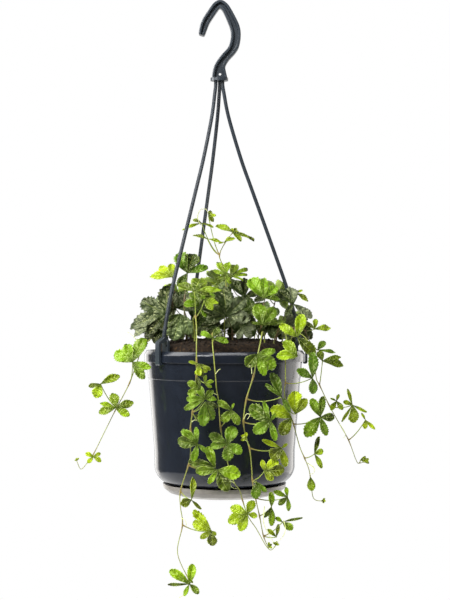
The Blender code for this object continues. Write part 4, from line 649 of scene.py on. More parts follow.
def leaf_upper(name, looks):
    """The upper side of a grape ivy leaflet: a thin waxy skin, puckered between the veins, paler along them."""
    made, tree, inputs = new_material(name, looks.young_colour, {
        "IOR": 1.42, "Specular IOR Level": 0.6, "Specular Tint": (*linear("#eef2b0"), 1.0)})
    veins, offset, pillow, along = vein_pattern(tree)
    place = add_node(tree, "TexCoord", {}, "Object")
    youth = add_node(tree, "Attribute", {}, "Fac", attribute_name="youth")
    chance = add_node(tree, "Attribute", {}, "Fac", attribute_name="chance")
    blade = add_node(tree, "ValToRGB", {"Fac": youth}, stops=[
        (0.0, tuple(looks.mature_colour)), (0.3, linear("#2f490b")), (0.6, linear("#4e6a06")),
        (0.95, tuple(looks.young_colour))])
    # Paler and darker patches are about 8 mm wide: a random tone of the blade, stretched so far that it also stands in
    # as painted light and shade.
    patch = add_node(tree, "TexNoise", {"Vector": place, "Scale": 125.0, "Detail": 2.0}, "Fac")
    light = add_node(tree, "Math", {0: patch, 1: chance}, operation="ADD")
    value = add_node(tree, "MapRange", {"Value": light, "From Min": 0.4, "From Max": 1.5, "To Min": 0.1,
                                        "To Max": 1.9}, "Result")
    patch_light_and_shade = add_node(tree, "HueSaturation", {"Color": blade, "Value": value}, "Color")
    # Painted sheen: old leaves get grey patches in blotches, painted in place of the soft reflection of light on their
    # waxy skin.
    painted_sheen = add_node(tree, "MapRange", {"Value": light, "From Min": 0.85, "From Max": 1.3, "To Min": 0.0,
                                        "To Max": 0.6}, "Result")
    old = add_node(tree, "MapRange", {"Value": youth, "From Min": 0.0, "From Max": 0.3, "To Min": 1.0,
                                      "To Max": 0.0}, "Result")
    old_leaf_sheen = add_node(tree, "Math", {0: painted_sheen, 1: old}, operation="MULTIPLY")
    sheened = add_node(tree, "Mix", {0: old_leaf_sheen, MIX_A: patch_light_and_shade, MIX_B: (*linear("#7a7f66"), 1.0)}, MIX_RESULT,
                      data_type="RGBA")
    # Painted shade: a leaflet is darkened near its hub, fading out by the middle of its length, as if shade fell where
    # its leaflets meet.
    hub = add_node(tree, "MapRange", {"Value": along, "From Min": 0.1, "From Max": 0.6, "To Min": 0.75,
                                      "To Max": 0.0}, "Result")
    deep = add_node(tree, "Mix", {0: hub, MIX_A: sheened, MIX_B: (*linear("#152806"), 1.0)}, MIX_RESULT,
                    data_type="RGBA")
    # Veins show pale, the more so the younger the leaf is. The thin rim is a painted highlight, also the stronger the
    # younger the leaf is.
    shown = add_node(tree, "MapRange", {"Value": youth, "From Min": 0.0, "From Max": 1.0, "To Min": 0.12,
                                        "To Max": 0.42}, "Result")
    ribbed = add_node(tree, "Math", {0: veins, 1: shown}, operation="MULTIPLY")
    vein_colour = (*looks.vein_colour, 1.0)
    drawn = add_node(tree, "Mix", {0: ribbed, MIX_A: deep, MIX_B: vein_colour}, MIX_RESULT, data_type="RGBA")
    # Painted highlight: the leaflet's rim is lightened towards the vein colour, as if its edge caught the light.
    rim = add_node(tree, "MapRange", {"Value": offset, "From Min": 0.42, "From Max": 0.5, "To Min": 0.0,
                                      "To Max": 0.5}, "Result")
    pale = add_node(tree, "Math", {0: rim, 1: youth}, operation="MULTIPLY")
    rim_highlighted = add_node(tree, "Mix", {0: pale, MIX_A: drawn, MIX_B: vein_colour}, MIX_RESULT, data_type="RGBA")
    gloss = add_node(tree, "MapRange", {"Value": patch, "From Min": 0.3, "From Max": 0.7, "To Min": 0.3,
                                        "To Max": 0.44}, "Result")
    # The blade is puckered between its side veins, in swellings some 6 mm wide.
    blister = add_node(tree, "TexNoise", {"Vector": place, "Scale": 170.0, "Detail": 1.0}, "Fac")
    puckered = add_node(tree, "Math", {0: pillow, 1: 0.18, 2: blister}, operation="MULTIPLY_ADD")
    height = add_node(tree, "Math", {0: veins, 1: -0.15, 2: puckered}, operation="MULTIPLY_ADD")
    bumps = add_node(tree, "Bump", {"Height": height, "Strength": 0.9, "Distance": 0.004}, "Normal")
    feed(tree, inputs, {"Base Color": rim_highlighted, "Roughness": gloss, "Normal": bumps})
    return made


def leaf_lower(name, looks):
    """The underside of a leaflet: pale and dull, with raised veins."""
    made, tree, inputs = new_material(name, looks.under_colour, {"Roughness": 0.62, "IOR": 1.42})
    veins = vein_pattern(tree)[0]
    youth = add_node(tree, "Attribute", {}, "Fac", attribute_name="youth")
    blade = add_node(tree, "ValToRGB", {"Fac": youth}, stops=[
        (0.0, darker(looks.under_colour, 0.7)), (1.0, linear("#9dbd3e"))])
    ribbed = add_node(tree, "Math", {0: veins, 1: 0.5}, operation="MULTIPLY")
    drawn = add_node(tree, "Mix", {0: ribbed, MIX_A: blade, MIX_B: (*looks.vein_colour, 1.0)}, MIX_RESULT,
                     data_type="RGBA")
    bumps = add_node(tree, "Bump", {"Height": veins, "Strength": 0.5, "Distance": 0.0004}, "Normal")
    feed(tree, inputs, {"Base Color": drawn, "Normal": bumps})
    return made


def green_stem(name, looks):
    """A soft vine stem: satin and olive green, browner with age and dark at its nodes."""
    return vine_stem(name, [(0.25, tuple(looks.stem_colour)), (0.5, linear("#7d7836")), (0.8, tuple(looks.bark_colour)),
                            (1.0, darker(looks.bark_colour, 0.5))])


def woody_stem(name, looks):
    """An older stem of the crown: olive at first, then brown and corky."""
    return vine_stem(name, [(0.15, linear("#59682c")), (0.5, linear("#5a4b2a")), (0.9, linear("#4a3524")),
                            (1.0, linear("#2f2118"))])


def vine_stem(name, stops):
    """A vine stem in the colours of its stops, from its growing end to its old nodes."""
    made, tree, inputs = new_material(name, stops[0][1], {"Roughness": 0.5, "IOR": 1.42})
    place = add_node(tree, "TexCoord", {}, "Object")
    bark = add_node(tree, "Attribute", {}, "Fac", attribute_name="bark")
    # Flecks of cork are about 1.5 mm apart.
    fleck = add_node(tree, "TexNoise", {"Vector": place, "Scale": 650.0, "Detail": 3.0}, "Fac")
    worn = add_node(tree, "Math", {0: fleck, 1: 0.5, 2: bark}, operation="MULTIPLY_ADD")
    shade = add_node(tree, "ValToRGB", {"Fac": worn}, stops=stops)
    bumps = add_node(tree, "Bump", {"Height": fleck, "Strength": 0.3, "Distance": 0.0003}, "Normal")
    feed(tree, inputs, {"Base Color": shade, "Normal": bumps})
    return made


def pale_tendril(name, looks):
    """A tendril: thin, soft and nearly white, greener in patches."""
    made, tree, inputs = new_material(name, looks.tendril_colour, {"Roughness": 0.45, "IOR": 1.42})
    place = add_node(tree, "TexCoord", {}, "Object")
    # Greener patches are about 5 mm long.
    patch = add_node(tree, "TexNoise", {"Vector": place, "Scale": 200.0, "Detail": 2.0}, "Fac")
    shade = add_node(tree, "ValToRGB", {"Fac": patch}, stops=[
        (0.35, linear("#b9c46c")), (0.65, tuple(looks.tendril_colour))])
    feed(tree, inputs, {"Base Color": shade})
    return made


def to_row(point):
    """A place in millimetres from the rim's centre, as metres in the row frame."""
    return (Vector(point) - HOOK_SEAT) * MM


def from_front(place):
    """The true place, in millimetres, that appears at this place from the eye point."""
    x, depth, z = place
    nearness = (depth - EYE.y) / -EYE.y
    return Vector((EYE.x + (x - EYE.x) * nearness, depth, EYE.z + (z - EYE.z) * nearness))


def add_piece(name, work, materials, slot, *nodes):
    """Makes a finished piece of the bmesh, in place of its CAD nodes."""
    mesh = bpy.data.meshes.new(name)
    work.to_mesh(mesh)
    work.free()
    for made in materials:
        mesh.materials.append(made)
    mesh.shade_smooth()
    mesh.set_sharp_from_angle(angle=SHARP_ANGLE)
    piece = bpy.data.objects.new(name, mesh)
    bpy.context.scene.collection.objects.link(piece)
    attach(piece, "root")
    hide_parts(*nodes)
    return piece


def soften_edges(piece, width):
    """Rounds a piece's moulded edges."""
    bevel = piece.modifiers.new("Moulded edges", "BEVEL")
    bevel.width = width
    bevel.segments = 2
    bevel.limit_method = "ANGLE"
    bevel.angle_limit = SHARP_ANGLE


def rounded(points, radius, steps=3):
    """A line of points with its corners rounded off."""
    points = [Vector(point) for point in points]
    line = [points[0]]
    for before, corner, after in zip(points, points[1:], points[2:]):
        into, out = before - corner, after - corner
        a = corner + into.normalized() * min(radius, into.length * 0.4)
        b = corner + out.normalized() * min(radius, out.length * 0.4)
        for k in range(steps + 1):
            share = k / steps
            line.append(a.lerp(corner, share).lerp(corner.lerp(b, share), share))
    return line + [points[-1]]


def smooth_line(points, steps):
    """A smooth curve through all the points, with that many steps between them."""
    line = []
    for k in range(len(points) - 1):
        a, b, c, d = (points[min(max(j, 0), len(points) - 1)] for j in (k - 1, k, k + 1, k + 2))
        for step in range(steps):
            u = step / steps
            line.append(0.5 * (2 * b + (c - a) * u + (2 * a - 5 * b + 4 * c - d) * u ** 2
                               + (3 * b - a - 3 * c + d) * u ** 3))
    return line + [points[-1]]


def turn_profile(profile, segments):
    """A profile of (radius, height) spun about the pot's axis, closed at both poles."""
    work = bmesh.new()
    verts = [work.verts.new(to_row((radius, 0.0, height))) for radius, height in profile]
    edges = [work.edges.new(pair) for pair in zip(verts, verts[1:])]
    bmesh.ops.spin(work, geom=verts + edges, cent=to_row((0.0, 0.0, 0.0)), axis=(0.0, 0.0, 1.0),
                   angle=2 * math.pi, steps=segments, use_merge=True)
    bmesh.ops.remove_doubles(work, verts=work.verts, dist=SHELL_MERGE * MM)
    bmesh.ops.recalc_face_normals(work, faces=work.faces)
    return work


def cylinder(work, radius, depth, matrix, segments=ROUND_SEGMENTS, top_radius=None):
    """Adds a cylinder or cone along the matrix's Z axis, its sizes in millimetres."""
    bmesh.ops.create_cone(work, cap_ends=True, segments=segments, radius1=radius * MM,
                          radius2=(radius if top_radius is None else top_radius) * MM, depth=depth * MM, matrix=matrix)


def upright(work, radius, low, high, centre, top_radius=None):
    """Adds an upright cylinder or cone."""
    matrix = Matrix.Translation(to_row((*centre, (low + high) / 2)))
    cylinder(work, radius, high - low, matrix, top_radius=top_radius)


def around(circle, count, start=0.0):
    """Places evenly round the pot's axis, the first at that many degrees."""
    angles = (math.radians(start + 360.0 * k / count) for k in range(count))
    return [(circle * math.cos(a), circle * math.sin(a)) for a in angles]


def drilled(work, cutters):
    """The bmesh with the cutters taken out of it. Both are used up."""
    objects = []
    for part in (work, cutters):
        mesh = bpy.data.meshes.new("drilling")
        part.to_mesh(mesh)
        part.free()
        objects.append(bpy.data.objects.new("drilling", mesh))
        bpy.context.scene.collection.objects.link(objects[-1])
    cut = objects[0].modifiers.new("Cut", "BOOLEAN")
    cut.operation = "DIFFERENCE"
    cut.object = objects[1]
    cut.solver = "MANIFOLD"
    made = bmesh.new()
    made.from_object(objects[0], bpy.context.evaluated_depsgraph_get())
    for obj in objects:
        mesh = obj.data
        bpy.data.objects.remove(obj)
        bpy.data.meshes.remove(mesh)
    return made


def wall_radius(height):
    """The outside of the pot's straight wall."""
    share = (-RIM_BAND - height) / (-RIM_BAND - WALL_LOW)
    return WALL_TOP_RADIUS + (WALL_LOW_RADIUS - WALL_TOP_RADIUS) * share


def pot_corner(inset):
    """The round lower corner between the wall and the foot, from the wall down."""
    line = []
    for k in range(CORNER_STEPS):
        a = math.radians(CORNER_FROM + CORNER_SWEEP * k / (CORNER_STEPS - 1))
        radius = CORNER_RADIUS - inset
        line.append((WALL_LOW_RADIUS - CORNER_RADIUS + radius * math.cos(a), CORNER_HEIGHT + radius * math.sin(a)))
    return line


def pot_shell(looks):
    """The pot's moulded shell, with its rim band, the step under it, drain holes and holes for the tray's pegs."""
    base_top = POT_BASE + WALL
    edge = looks.edge / MM
    inside = [(0.0, base_top), (POT_FOOT_RADIUS - WALL, base_top), *pot_corner(WALL)[::-1]]
    rim = rounded([
        (RIM_INSIDE, -RIM_EDGE - 3.0), (RIM_INSIDE, 0.0), (RIM_RADIUS - RIM_SHOULDER * 0.6, 0.0),
        (RIM_RADIUS, -RIM_SHOULDER), (RIM_RADIUS, -RIM_BAND),
        (RIM_RADIUS - WALL, -RIM_BAND), (wall_radius(-RIM_BAND), -RIM_BAND + WALL),
        (wall_radius(SEAM), SEAM), (wall_radius(SEAM) - SEAM_STEP, SEAM - SEAM_DROP),
        (wall_radius(WALL_LOW), WALL_LOW)], edge)
    foot = rounded([(POT_FOOT_RADIUS + 3.0, POT_BASE + 5.0), (POT_FOOT_RADIUS, POT_BASE), (0.0, POT_BASE)], edge)
    profile = inside + [tuple(point) for point in rim] + pot_corner(0.0) + [tuple(point) for point in foot[1:]]
    cutters = bmesh.new()
    low, high = POT_BASE - CUTTER_REACH, base_top + CUTTER_REACH
    for place in around(DRAIN_CIRCLE, DRAIN_COUNT, DRAIN_FROM):
        upright(cutters, DRAIN_RADIUS, low, high, place)
    for place in around(PEG_CIRCLE, PEG_COUNT):
        upright(cutters, PEG_RADIUS + GAP, low, high, place)
    return drilled(turn_profile(profile, looks.segments), cutters)


def tray_shell(looks):
    """The drip tray, with the stands and pegs that hold it under the pot."""
    floor = TRAY_BASE + WALL
    profile = rounded([
        (0.0, floor), (TRAY_BASE_RADIUS - 0.6, floor), (TRAY_RIM_RADIUS - 5.0, floor + 4.6),
        (TRAY_RIM_RADIUS - WALL, TRAY_RIM), (TRAY_RIM_RADIUS, TRAY_RIM), (TRAY_RIM_RADIUS - 0.8, TRAY_RIM - 4.2),
        (TRAY_RIM_RADIUS - 6.2, TRAY_RIM - 8.6), (TRAY_BASE_RADIUS, TRAY_BASE), (0.0, TRAY_BASE)], looks.edge / MM)
    work = turn_profile(profile, looks.segments)
    head_low = POT_BASE + WALL + GAP
    for place in around(PEG_CIRCLE, PEG_COUNT):
        upright(work, PEG_RADIUS, floor - SINK, head_low + SINK, place)
        upright(work, PEG_HEAD_RADIUS, head_low, head_low + PEG_HEAD_HEIGHT, place, PEG_TIP_RADIUS)
        upright(work, STAND_RADIUS, floor - SINK, POT_BASE - GAP, place)
    return work


def soil_height(radius):
    """The mound: level in the middle and falling to the wall."""
    for (near, high), (far, low) in zip(SOIL_SLOPE, SOIL_SLOPE[1:]):
        if radius <= far:
            break
    return high + (low - high) * (radius - near) / (far - near)


def soil_lumps(looks):
    """The soil as one crumbly mound that fills the pot, with loose crumbs on it."""
    radii = [SOIL_RADIUS * k / SOIL_RINGS for k in range(SOIL_RINGS + 1)]
    top = [(radius, soil_height(radius)) for radius in radii]
    floor = POT_BASE + WALL + GAP
    side = pot_corner(WALL + GAP)
    work = turn_profile(top + side + [(POT_FOOT_RADIUS - WALL - 1.0, floor), (0.0, floor)], SOIL_SEGMENTS)
    low = to_row((0.0, 0.0, LUMPY_ABOVE)).z
    for vert in work.verts:
        if vert.co.z > low:
            big = noise.noise(vert.co / (LUMP_WIDTH * MM))
            small = noise.noise(vert.co / (SMALL_LUMP_WIDTH * MM) + Vector(SMALL_LUMP_SHIFT))
            vert.co.z += (big + SMALL_LUMP_SHARE * small) * looks.roughness
    chance = random.Random(CRUMB_SEED)
    for _ in range(looks.crumbs):
        radius = CRUMB_REACH * math.sqrt(chance.random())
        angle = chance.uniform(0.0, 2 * math.pi)
        height = soil_height(radius) + chance.uniform(*CRUMB_LIFT)
        place = to_row((radius * math.cos(angle), radius * math.sin(angle), height))
        size = looks.crumb / 2 * chance.uniform(*CRUMB_SIZES)
        turn = Matrix.Rotation(chance.uniform(*CRUMB_TURNS), 4, Vector((chance.random(), chance.random(), 1.0)))
        squash = Matrix.Diagonal((1.0, chance.uniform(*CRUMB_DEPTHS), chance.uniform(*CRUMB_HEIGHTS), 1.0))
        bmesh.ops.create_icosphere(work, subdivisions=1, radius=size, matrix=Matrix.Translation(place) @ turn @ squash)
    return work


def face_outwards(work):
    """Turns the faces of one closed body outwards."""
    bmesh.ops.recalc_face_normals(work, faces=work.faces)
    if work.calc_volume(signed=True) < 0:
        bmesh.ops.reverse_faces(work, faces=work.faces)


def slab(work, outline, thickness):
    """A flat slab: an outline of places in the row frame, thickened by that vector."""
    face = work.faces.new([work.verts.new(place) for place in outline])
    made = bmesh.ops.extrude_face_region(work, geom=[face], use_keep_orig=True)["geom"]
    moved = [item for item in made if isinstance(item, bmesh.types.BMVert)]
    bmesh.ops.translate(work, verts=moved, vec=thickness)


def hook_section(place, along, half, web):
    """The I beam's section: chamfered edges in front and behind, and its web between them, of that half thickness."""
    across = Vector((-along.y, along.x))
    deep, edge, slope = HOOK_DEPTH / 2, half - HOOK_EDGE, HOOK_CHAMFER
    front = [(half, slope - deep), (half - slope, -deep), (edge, -deep), (edge - slope, -web),
             (slope - edge, -web), (-edge, -deep), (slope - half, -deep), (-half, slope - deep)]
    section = front + [(side, -depth) for side, depth in front[::-1]]
    return [to_row((place.x + across.x * side, depth, place.y + across.y * side)) for side, depth in section]


def drawn_out(work, end, ring):
    """Extrudes an end face once. Gives the new end face and its ring, each vertex opposite the one it came from."""
    if all(edge.is_boundary for edge in end.edges):
        made = bmesh.ops.extrude_face_region(work, geom=[end], use_keep_orig=True)["geom"]
        end = next(item for item in made if isinstance(item, bmesh.types.BMFace) and len(item.verts) == len(ring))
    else:
        end = bmesh.ops.extrude_discrete_faces(work, faces=[end])["faces"][0]
    fresh = set(end.verts)
    return end, [next(edge.other_vert(vert) for edge in vert.link_edges if edge.other_vert(vert) in fresh)
                 for vert in ring]


def loft(work, rings):
    """Draws a body through rings of places, closed at both ends."""
    ring = [work.verts.new(place) for place in rings[0]]
    end = work.faces.new(ring)
    for places in rings[1:]:
        end, ring = drawn_out(work, end, ring)
        for vert, place in zip(ring, places):
            vert.co = place


def hook_beam():
    """The hook: an I beam with its web set back between raised edges, on the oval foot that holds the arms."""
    work = bmesh.new()
    line = smooth_line([Vector(point) for point in HOOK_LINE], HANGER_STEPS)
    rings = []
    for k, point in enumerate(line):
        before, after = line[max(k - 1, 0)], line[min(k + 1, len(line) - 1)]
        along = Vector((after.x - before.x, after.y - before.y)).normalized()
        sunk = min(max((k - HOOK_SOLID_STEPS) / HOOK_SOLID_STEPS, 0.0), 1.0)
        web = HOOK_DEPTH / 2 - (HOOK_DEPTH - HOOK_WEB) / 2 * sunk
        rings.append(hook_section(Vector((point.x, point.y)), along, point.z, web))
    loft(work, rings)
    face_outwards(work)
    cutters = bmesh.new()
    eye = Matrix.Translation(to_row((HOOK_EYE[0], 0.0, HOOK_EYE[1])))
    cylinder(cutters, HOOK_EYE_RADIUS, 2 * HOOK_DEPTH, eye @ Matrix.Rotation(math.pi / 2, 4, "X"))
    work = drilled(work, cutters)
    centre = Matrix.Translation(to_row((FOOT_CENTRE, 0.0, FOOT_TOP - FOOT_THICK / 2)))
    flat = Matrix.Diagonal((1.0, FOOT_DEPTH / FOOT_RADIUS, 1.0, 1.0))
    cylinder(work, FOOT_RADIUS, FOOT_THICK, centre @ flat, FOOT_SEGMENTS)
    return work


def sweep(work, points, radii, sides):
    """Draws a round section along the points (millimetres), closed at both ends. Gives its rings."""
    way = (points[1] - points[0]).normalized()
    stand = Matrix.Translation(to_row(points[0])) @ way.to_track_quat("Z", "Y").to_matrix().to_4x4()
    ring = bmesh.ops.create_circle(work, cap_ends=True, radius=radii[0] * MM, segments=sides, matrix=stand)["verts"]
    end = ring[0].link_faces[0]
    centre = to_row(points[0])
    spokes = [(vert.co - centre) / radii[0] for vert in end.verts]
    rings = [list(end.verts)]
    for k in range(1, len(points)):
        before = points[k] - points[k - 1]
        after = points[k + 1] - points[k] if k + 1 < len(points) else before
        new_way = (before.normalized() + after.normalized()).normalized()
        turn = way.rotation_difference(new_way)
        spokes = [turn @ spoke for spoke in spokes]
        way = new_way
        end, ring = drawn_out(work, end, rings[-1])
        for vert, spoke in zip(ring, spokes):
            vert.co = to_row(points[k]) + spoke * radii[k]
        rings.append(ring)
    return rings


def rod_points(arm):
    """An arm's rod: straight down out of the foot, then out to the top of its clip."""
    a = math.radians(arm.angle)
    start = Vector(arm.start)
    end = Vector((math.cos(a), math.sin(a))) * (RIM_INSIDE + ROD_END)
    points = [Vector((*start, FOOT_TOP - FOOT_THICK + SOCKET_DEPTH - GAP))]
    for share, height in ROD_ROUTE:
        points.append(Vector((*start.lerp(end, share), height)))
    return points


def rod_section(line, k, reach):
    """The rod's section: a cross, so that a rib runs down the middle of each side."""
    way = (line[min(k + 1, len(line) - 1)] - line[max(k - 1, 0)]).normalized()
    across = Vector((1.0, 0.0, 0.0))
    across = (across - way * across.dot(way)).normalized()
    deep = way.cross(across)
    rib = ROD_RIB / 2
    corner = [(reach, rib), (rib, rib), (rib, reach), (-rib, reach), (-rib, rib), (-reach, rib)]
    section = corner + [(-x, -y) for x, y in corner]
    return [to_row(line[k] + across * x + deep * y) for x, y in section]


def clip_and_rod(arm, looks):
    """A hanger arm: a ridged rod down to a clip whose tongue catches under the rim's band, with an ear inside it."""
    work = bmesh.new()
    a = math.radians(arm.angle)
    out, side = Vector((math.cos(a), math.sin(a), 0.0)), Vector((-math.sin(a), math.cos(a), 0.0))
    outer, inner = RIM_RADIUS + 2 * GAP, RIM_INSIDE - 1.0
    catch, foot = RIM_RADIUS - 1.4, -RIM_BAND - CLIP_BELOW_BAND
    tongue = rounded([
        (inner - EAR_THICK + 0.4, 12.6), (inner + 2.0, 13.8), (outer + CLIP_TONGUE, 9.0),
        (outer + CLIP_TONGUE, foot + 1.2), (outer + CLIP_TONGUE - 1.2, foot), (catch, foot),
        (catch, -RIM_BAND - 0.6), (outer, -RIM_BAND - 0.6), (outer, 6.8), (inner - 0.2, 10.4)], 0.7, 2)
    corner = [to_row(out * radius - side * CLIP_WIDTH / 2 + Vector((0.0, 0.0, height))) for radius, height in tongue]
    slab(work, corner, side * CLIP_WIDTH * MM)
    half_round = [math.radians(180 * k / EAR_STEPS) for k in range(EAR_STEPS + 1)]
    ear = [(EAR_RADIUS * math.cos(b), EAR_HEIGHT + EAR_RADIUS * math.sin(b)) for b in half_round]
    ear += [(-EAR_RADIUS, -3.4), (EAR_RADIUS, -3.4)]
    lug = bmesh.new()
    back = out * (inner - EAR_THICK)
    slab(lug, [to_row(back + side * y + Vector((0.0, 0.0, z))) for y, z in ear], out * EAR_THICK * MM)
    face_outwards(lug)
    cutters = bmesh.new()
    eye = Matrix.Translation(to_row(out * inner + side * EAR_RADIUS / 2 + Vector((0.0, 0.0, EAR_HEIGHT - 2.4))))
    cylinder(cutters, EAR_HOLE_RADIUS, EAR_CUTTER, eye @ out.to_track_quat("Z", "Y").to_matrix().to_4x4(), 20)
    lug = drilled(lug, cutters)
    mesh = bpy.data.meshes.new("lug")
    lug.to_mesh(mesh)
    lug.free()
    work.from_mesh(mesh)
    bpy.data.meshes.remove(mesh)
    line = smooth_line(rod_points(arm), HANGER_STEPS)
    loft(work, [rod_section(line, k, looks.rod / MM) for k in range(len(line))])
    bmesh.ops.recalc_face_normals(work, faces=work.faces)
    return work


def leaf_axes(leaf):
    """Across, along and out of the leaf, as a matrix's columns."""
    turn, lift = math.radians(leaf.turn), math.radians(leaf.lift)
    aim = math.radians(leaf.aim) if isinstance(leaf, Fan) else 0.0
    face = Vector((math.sin(turn) * math.cos(lift), -math.cos(turn) * math.cos(lift), math.sin(lift)))
    wanted = Vector((math.sin(aim), 0.0, math.cos(aim)))
    along = (wanted - face * wanted.dot(face)).normalized()
    return Matrix((along.cross(face), along, face)).transposed()


def fan_leaflets(leaf, chance):
    """(angle, length, width share) of evenly spread leaflets, a little uneven as they grow."""
    middle = (leaf.count - 1) / 2
    made = []
    for k in range(leaf.count):
        share = FAN_SHARES[int(abs(k - middle))]
        angle = math.radians((k - middle) * FAN_ANGLE + chance.uniform(*FAN_TURNS))
        made.append((angle, leaf.size * share * chance.uniform(*FAN_SIZES), FAN_WIDTH))
    return made


def seen_leaflets(leaf, axes):
    """As fan_leaflets, for leaflets whose tips are given as they appear: each line of sight leads to the blade."""
    hub = from_front((leaf.x, leaf.y, leaf.z))
    face = axes.col[2]
    made = []
    for x, z, share in leaf.tips:
        sight = Vector((x, 0.0, z)) - EYE
        low, length = hub, 0.0
        for _ in range(3):
            low = hub - face * LEAF_DROOP * length
            tip = EYE + sight * ((low - EYE).dot(face) / sight.dot(face))
            length = (tip - low).length
        made.append((math.atan2((tip - low).dot(axes.col[0]), (tip - low).dot(axes.col[1])), length, share))
    return sorted(made)


Growth = namedtuple("Growth", "fold sway wave phase tooth")


def leaflet_point(s, t, angle, length, share, gap, growth):
    """A place on a leaflet in the leaf's own axes: s from -1 to 1 across it and t from 0 to 1 along it."""
    along = Vector((math.sin(angle), math.cos(angle), 0.0))
    across = Vector((math.cos(angle), -math.sin(angle), 0.0))
    row = round(t * LEAFLET_ROWS)
    # Wedge-shaped at its base and widest two thirds of the way out.
    half = share / 2 * max(math.sin(math.pi * t ** OUTLINE_ALONG), 0.0) ** OUTLINE_FULL
    half = min(half, t * math.tan(min(GAP_SHARE * gap, GAP_MOST)))
    if row < 2:
        half = max(half, LEAFLET_BASE / length)
    if abs(s) > TOOTH_EDGE and TOOTH_ROW <= row < LEAFLET_ROWS:
        out = row % 2 * 2 - 1
        half *= 1.0 + growth.tooth * out
        t += TOOTH_LEAN * out
    rise = growth.fold * half * abs(s) ** FOLD_CURVE - LEAF_DROOP * t * t
    rise += growth.wave * abs(s) * t * math.sin(WAVE_ALONG * t + growth.phase + WAVE_ACROSS * s)
    place = along * t + across * (half * s + growth.sway * t * t) + Vector((0.0, 0.0, rise))
    return place * length


def add_leaf(work, leaf, leaflets, tone, tooth, chance):
    """A palmate leaf: its leaflets spread from one hub, each a toothed blade folded a little along its midrib."""
    axes = leaf_axes(leaf)
    hub = from_front((leaf.x, leaf.y, leaf.z))
    youth_layer = work.verts.layers.float["youth"]
    chance_layer = work.verts.layers.float["chance"]
    for k, (angle, length, share) in enumerate(leaflets):
        before = (angle - leaflets[k - 1][0]) % (2 * math.pi) or 2 * math.pi
        after = (leaflets[(k + 1) % len(leaflets)][0] - angle) % (2 * math.pi) or 2 * math.pi
        growth = Growth(LEAF_FOLD * chance.uniform(*FOLD_SHARES), chance.uniform(*SWAYS), chance.uniform(*WAVES),
                        chance.uniform(*WAVE_STARTS), tooth * chance.uniform(*TOOTH_SHARES))
        verts = bmesh.ops.create_grid(work, x_segments=LEAFLET_COLUMNS, y_segments=LEAFLET_ROWS, size=1.0,
                                      calc_uvs=True)["verts"]
        lightness = chance.random()
        for vert in verts:
            s, t = vert.co.x, (vert.co.y + 1.0) / 2
            place = leaflet_point(s, t, angle, length, share, after if s > 0 else before, growth)
            vert.co = to_row(hub + axes @ place)
            vert[youth_layer] = tone
            vert[chance_layer] = lightness
        bmesh.ops.remove_doubles(work, verts=verts, dist=LEAFLET_MERGE * MM)


def stalk_line(start, hub, face):
    """A leaf stalk from its stem to its hub: it sags a little and meets the blade from behind."""
    length = (hub - start).length
    bend = (start + hub) / 2 - face * STALK_BEHIND * length - Vector((0.0, 0.0, STALK_SAG * length))
    end = hub - face * STALK_END
    shares = [k / (len(STALK_BARK) - 1) for k in range(len(STALK_BARK))]
    return [start.lerp(bend, share).lerp(bend.lerp(end, share), share) for share in shares]


def tint(rings, layer, values):
    """Gives each ring's vertices that ring's value."""
    for ring, value in zip(rings, values):
        for vert in ring:
            vert[layer] = value


def add_stem_tube(work, stem, route, layer):
    """The stem itself, tapering to its tip and thicker at the nodes that its leaves grow from."""
    line = smooth_line(route, STEM_STEPS)
    places = [k / STEM_STEPS for k in range(len(line))]
    nodes = {leaf.at for leaf in stem.leaves}
    swell = [max(math.exp(-((place - node) * NODE_SHORTNESS) ** 2) for node in nodes) for place in places]
    taper = [1.0 - TIP_LOSS * place / (len(route) - 1) for place in places]
    radii = [stem.radius * (STEM_SHARE + NODE_SHARE * lump) * share for lump, share in zip(swell, taper)]
    rings = sweep(work, line, radii, STEM_SIDES)
    tint(rings, layer, [STEM_BARK + NODE_BARK * lump for lump in swell])


def stem_piece(stem):
    """The stem, its leaf stalks and its tendrils."""
    work = bmesh.new()
    layer = work.verts.layers.float.new("bark")
    route = [from_front(place) for place in stem.route]
    add_stem_tube(work, stem, route, layer)
    for leaf in [*stem.leaves, *BUDS.get(stem.name, [])]:
        k = min(int(leaf.at), len(route) - 2)
        start = route[k].lerp(route[k + 1], leaf.at - k)
        line = stalk_line(start, from_front((leaf.x, leaf.y, leaf.z)), leaf_axes(leaf).col[2])
        taper = STALK_TIP_RADIUS - STALK_BASE_RADIUS
        radii = [STALK_BASE_RADIUS + taper * j / (len(line) - 1) for j in range(len(line))]
        radii[0] *= STALK_FOOT
        radii[-1] *= STALK_HEAD
        tint(sweep(work, line, radii, STALK_SIDES), layer, STALK_BARK)
    stalks = len(work.faces)
    for places in TENDRILS.get(stem.name, []):
        line = smooth_line([from_front(place) for place in places], STEM_STEPS)
        radii = [TENDRIL_RADIUS * (TENDRIL_FOOT - TENDRIL_LOSS * k / (len(line) - 1)) for k in range(len(line))]
        sweep(work, line, radii, TENDRIL_SIDES)
    work.faces.ensure_lookup_table()
    for face in work.faces[stalks:]:
        face.material_index = 1
    bmesh.ops.recalc_face_normals(work, faces=work.faces)
    return work


def leaves_piece(stem, looks):
    """All the leaves and buds of one stem."""
    work = bmesh.new()
    work.loops.layers.uv.new("UVMap")
    work.verts.layers.float.new("youth")
    work.verts.layers.float.new("chance")
    spread = random.Random(stem.name)
    chance = random.Random(stem.name + " looks")
    usual, others = YOUTH[stem.name]
    for k, leaf in enumerate(stem.leaves):
        leaflets = fan_leaflets(leaf, spread) if isinstance(leaf, Fan) else seen_leaflets(leaf, leaf_axes(leaf))
        tone = min(max(others.get(k, usual) + chance.uniform(-YOUTH_SPREAD, YOUTH_SPREAD), 0.0), 1.0)
        add_leaf(work, leaf, leaflets, tone, looks.tooth, chance)
    for bud in BUDS.get(stem.name, []):
        add_leaf(work, bud, fan_leaflets(bud, chance), 1.0, 0.0, chance)
    return work


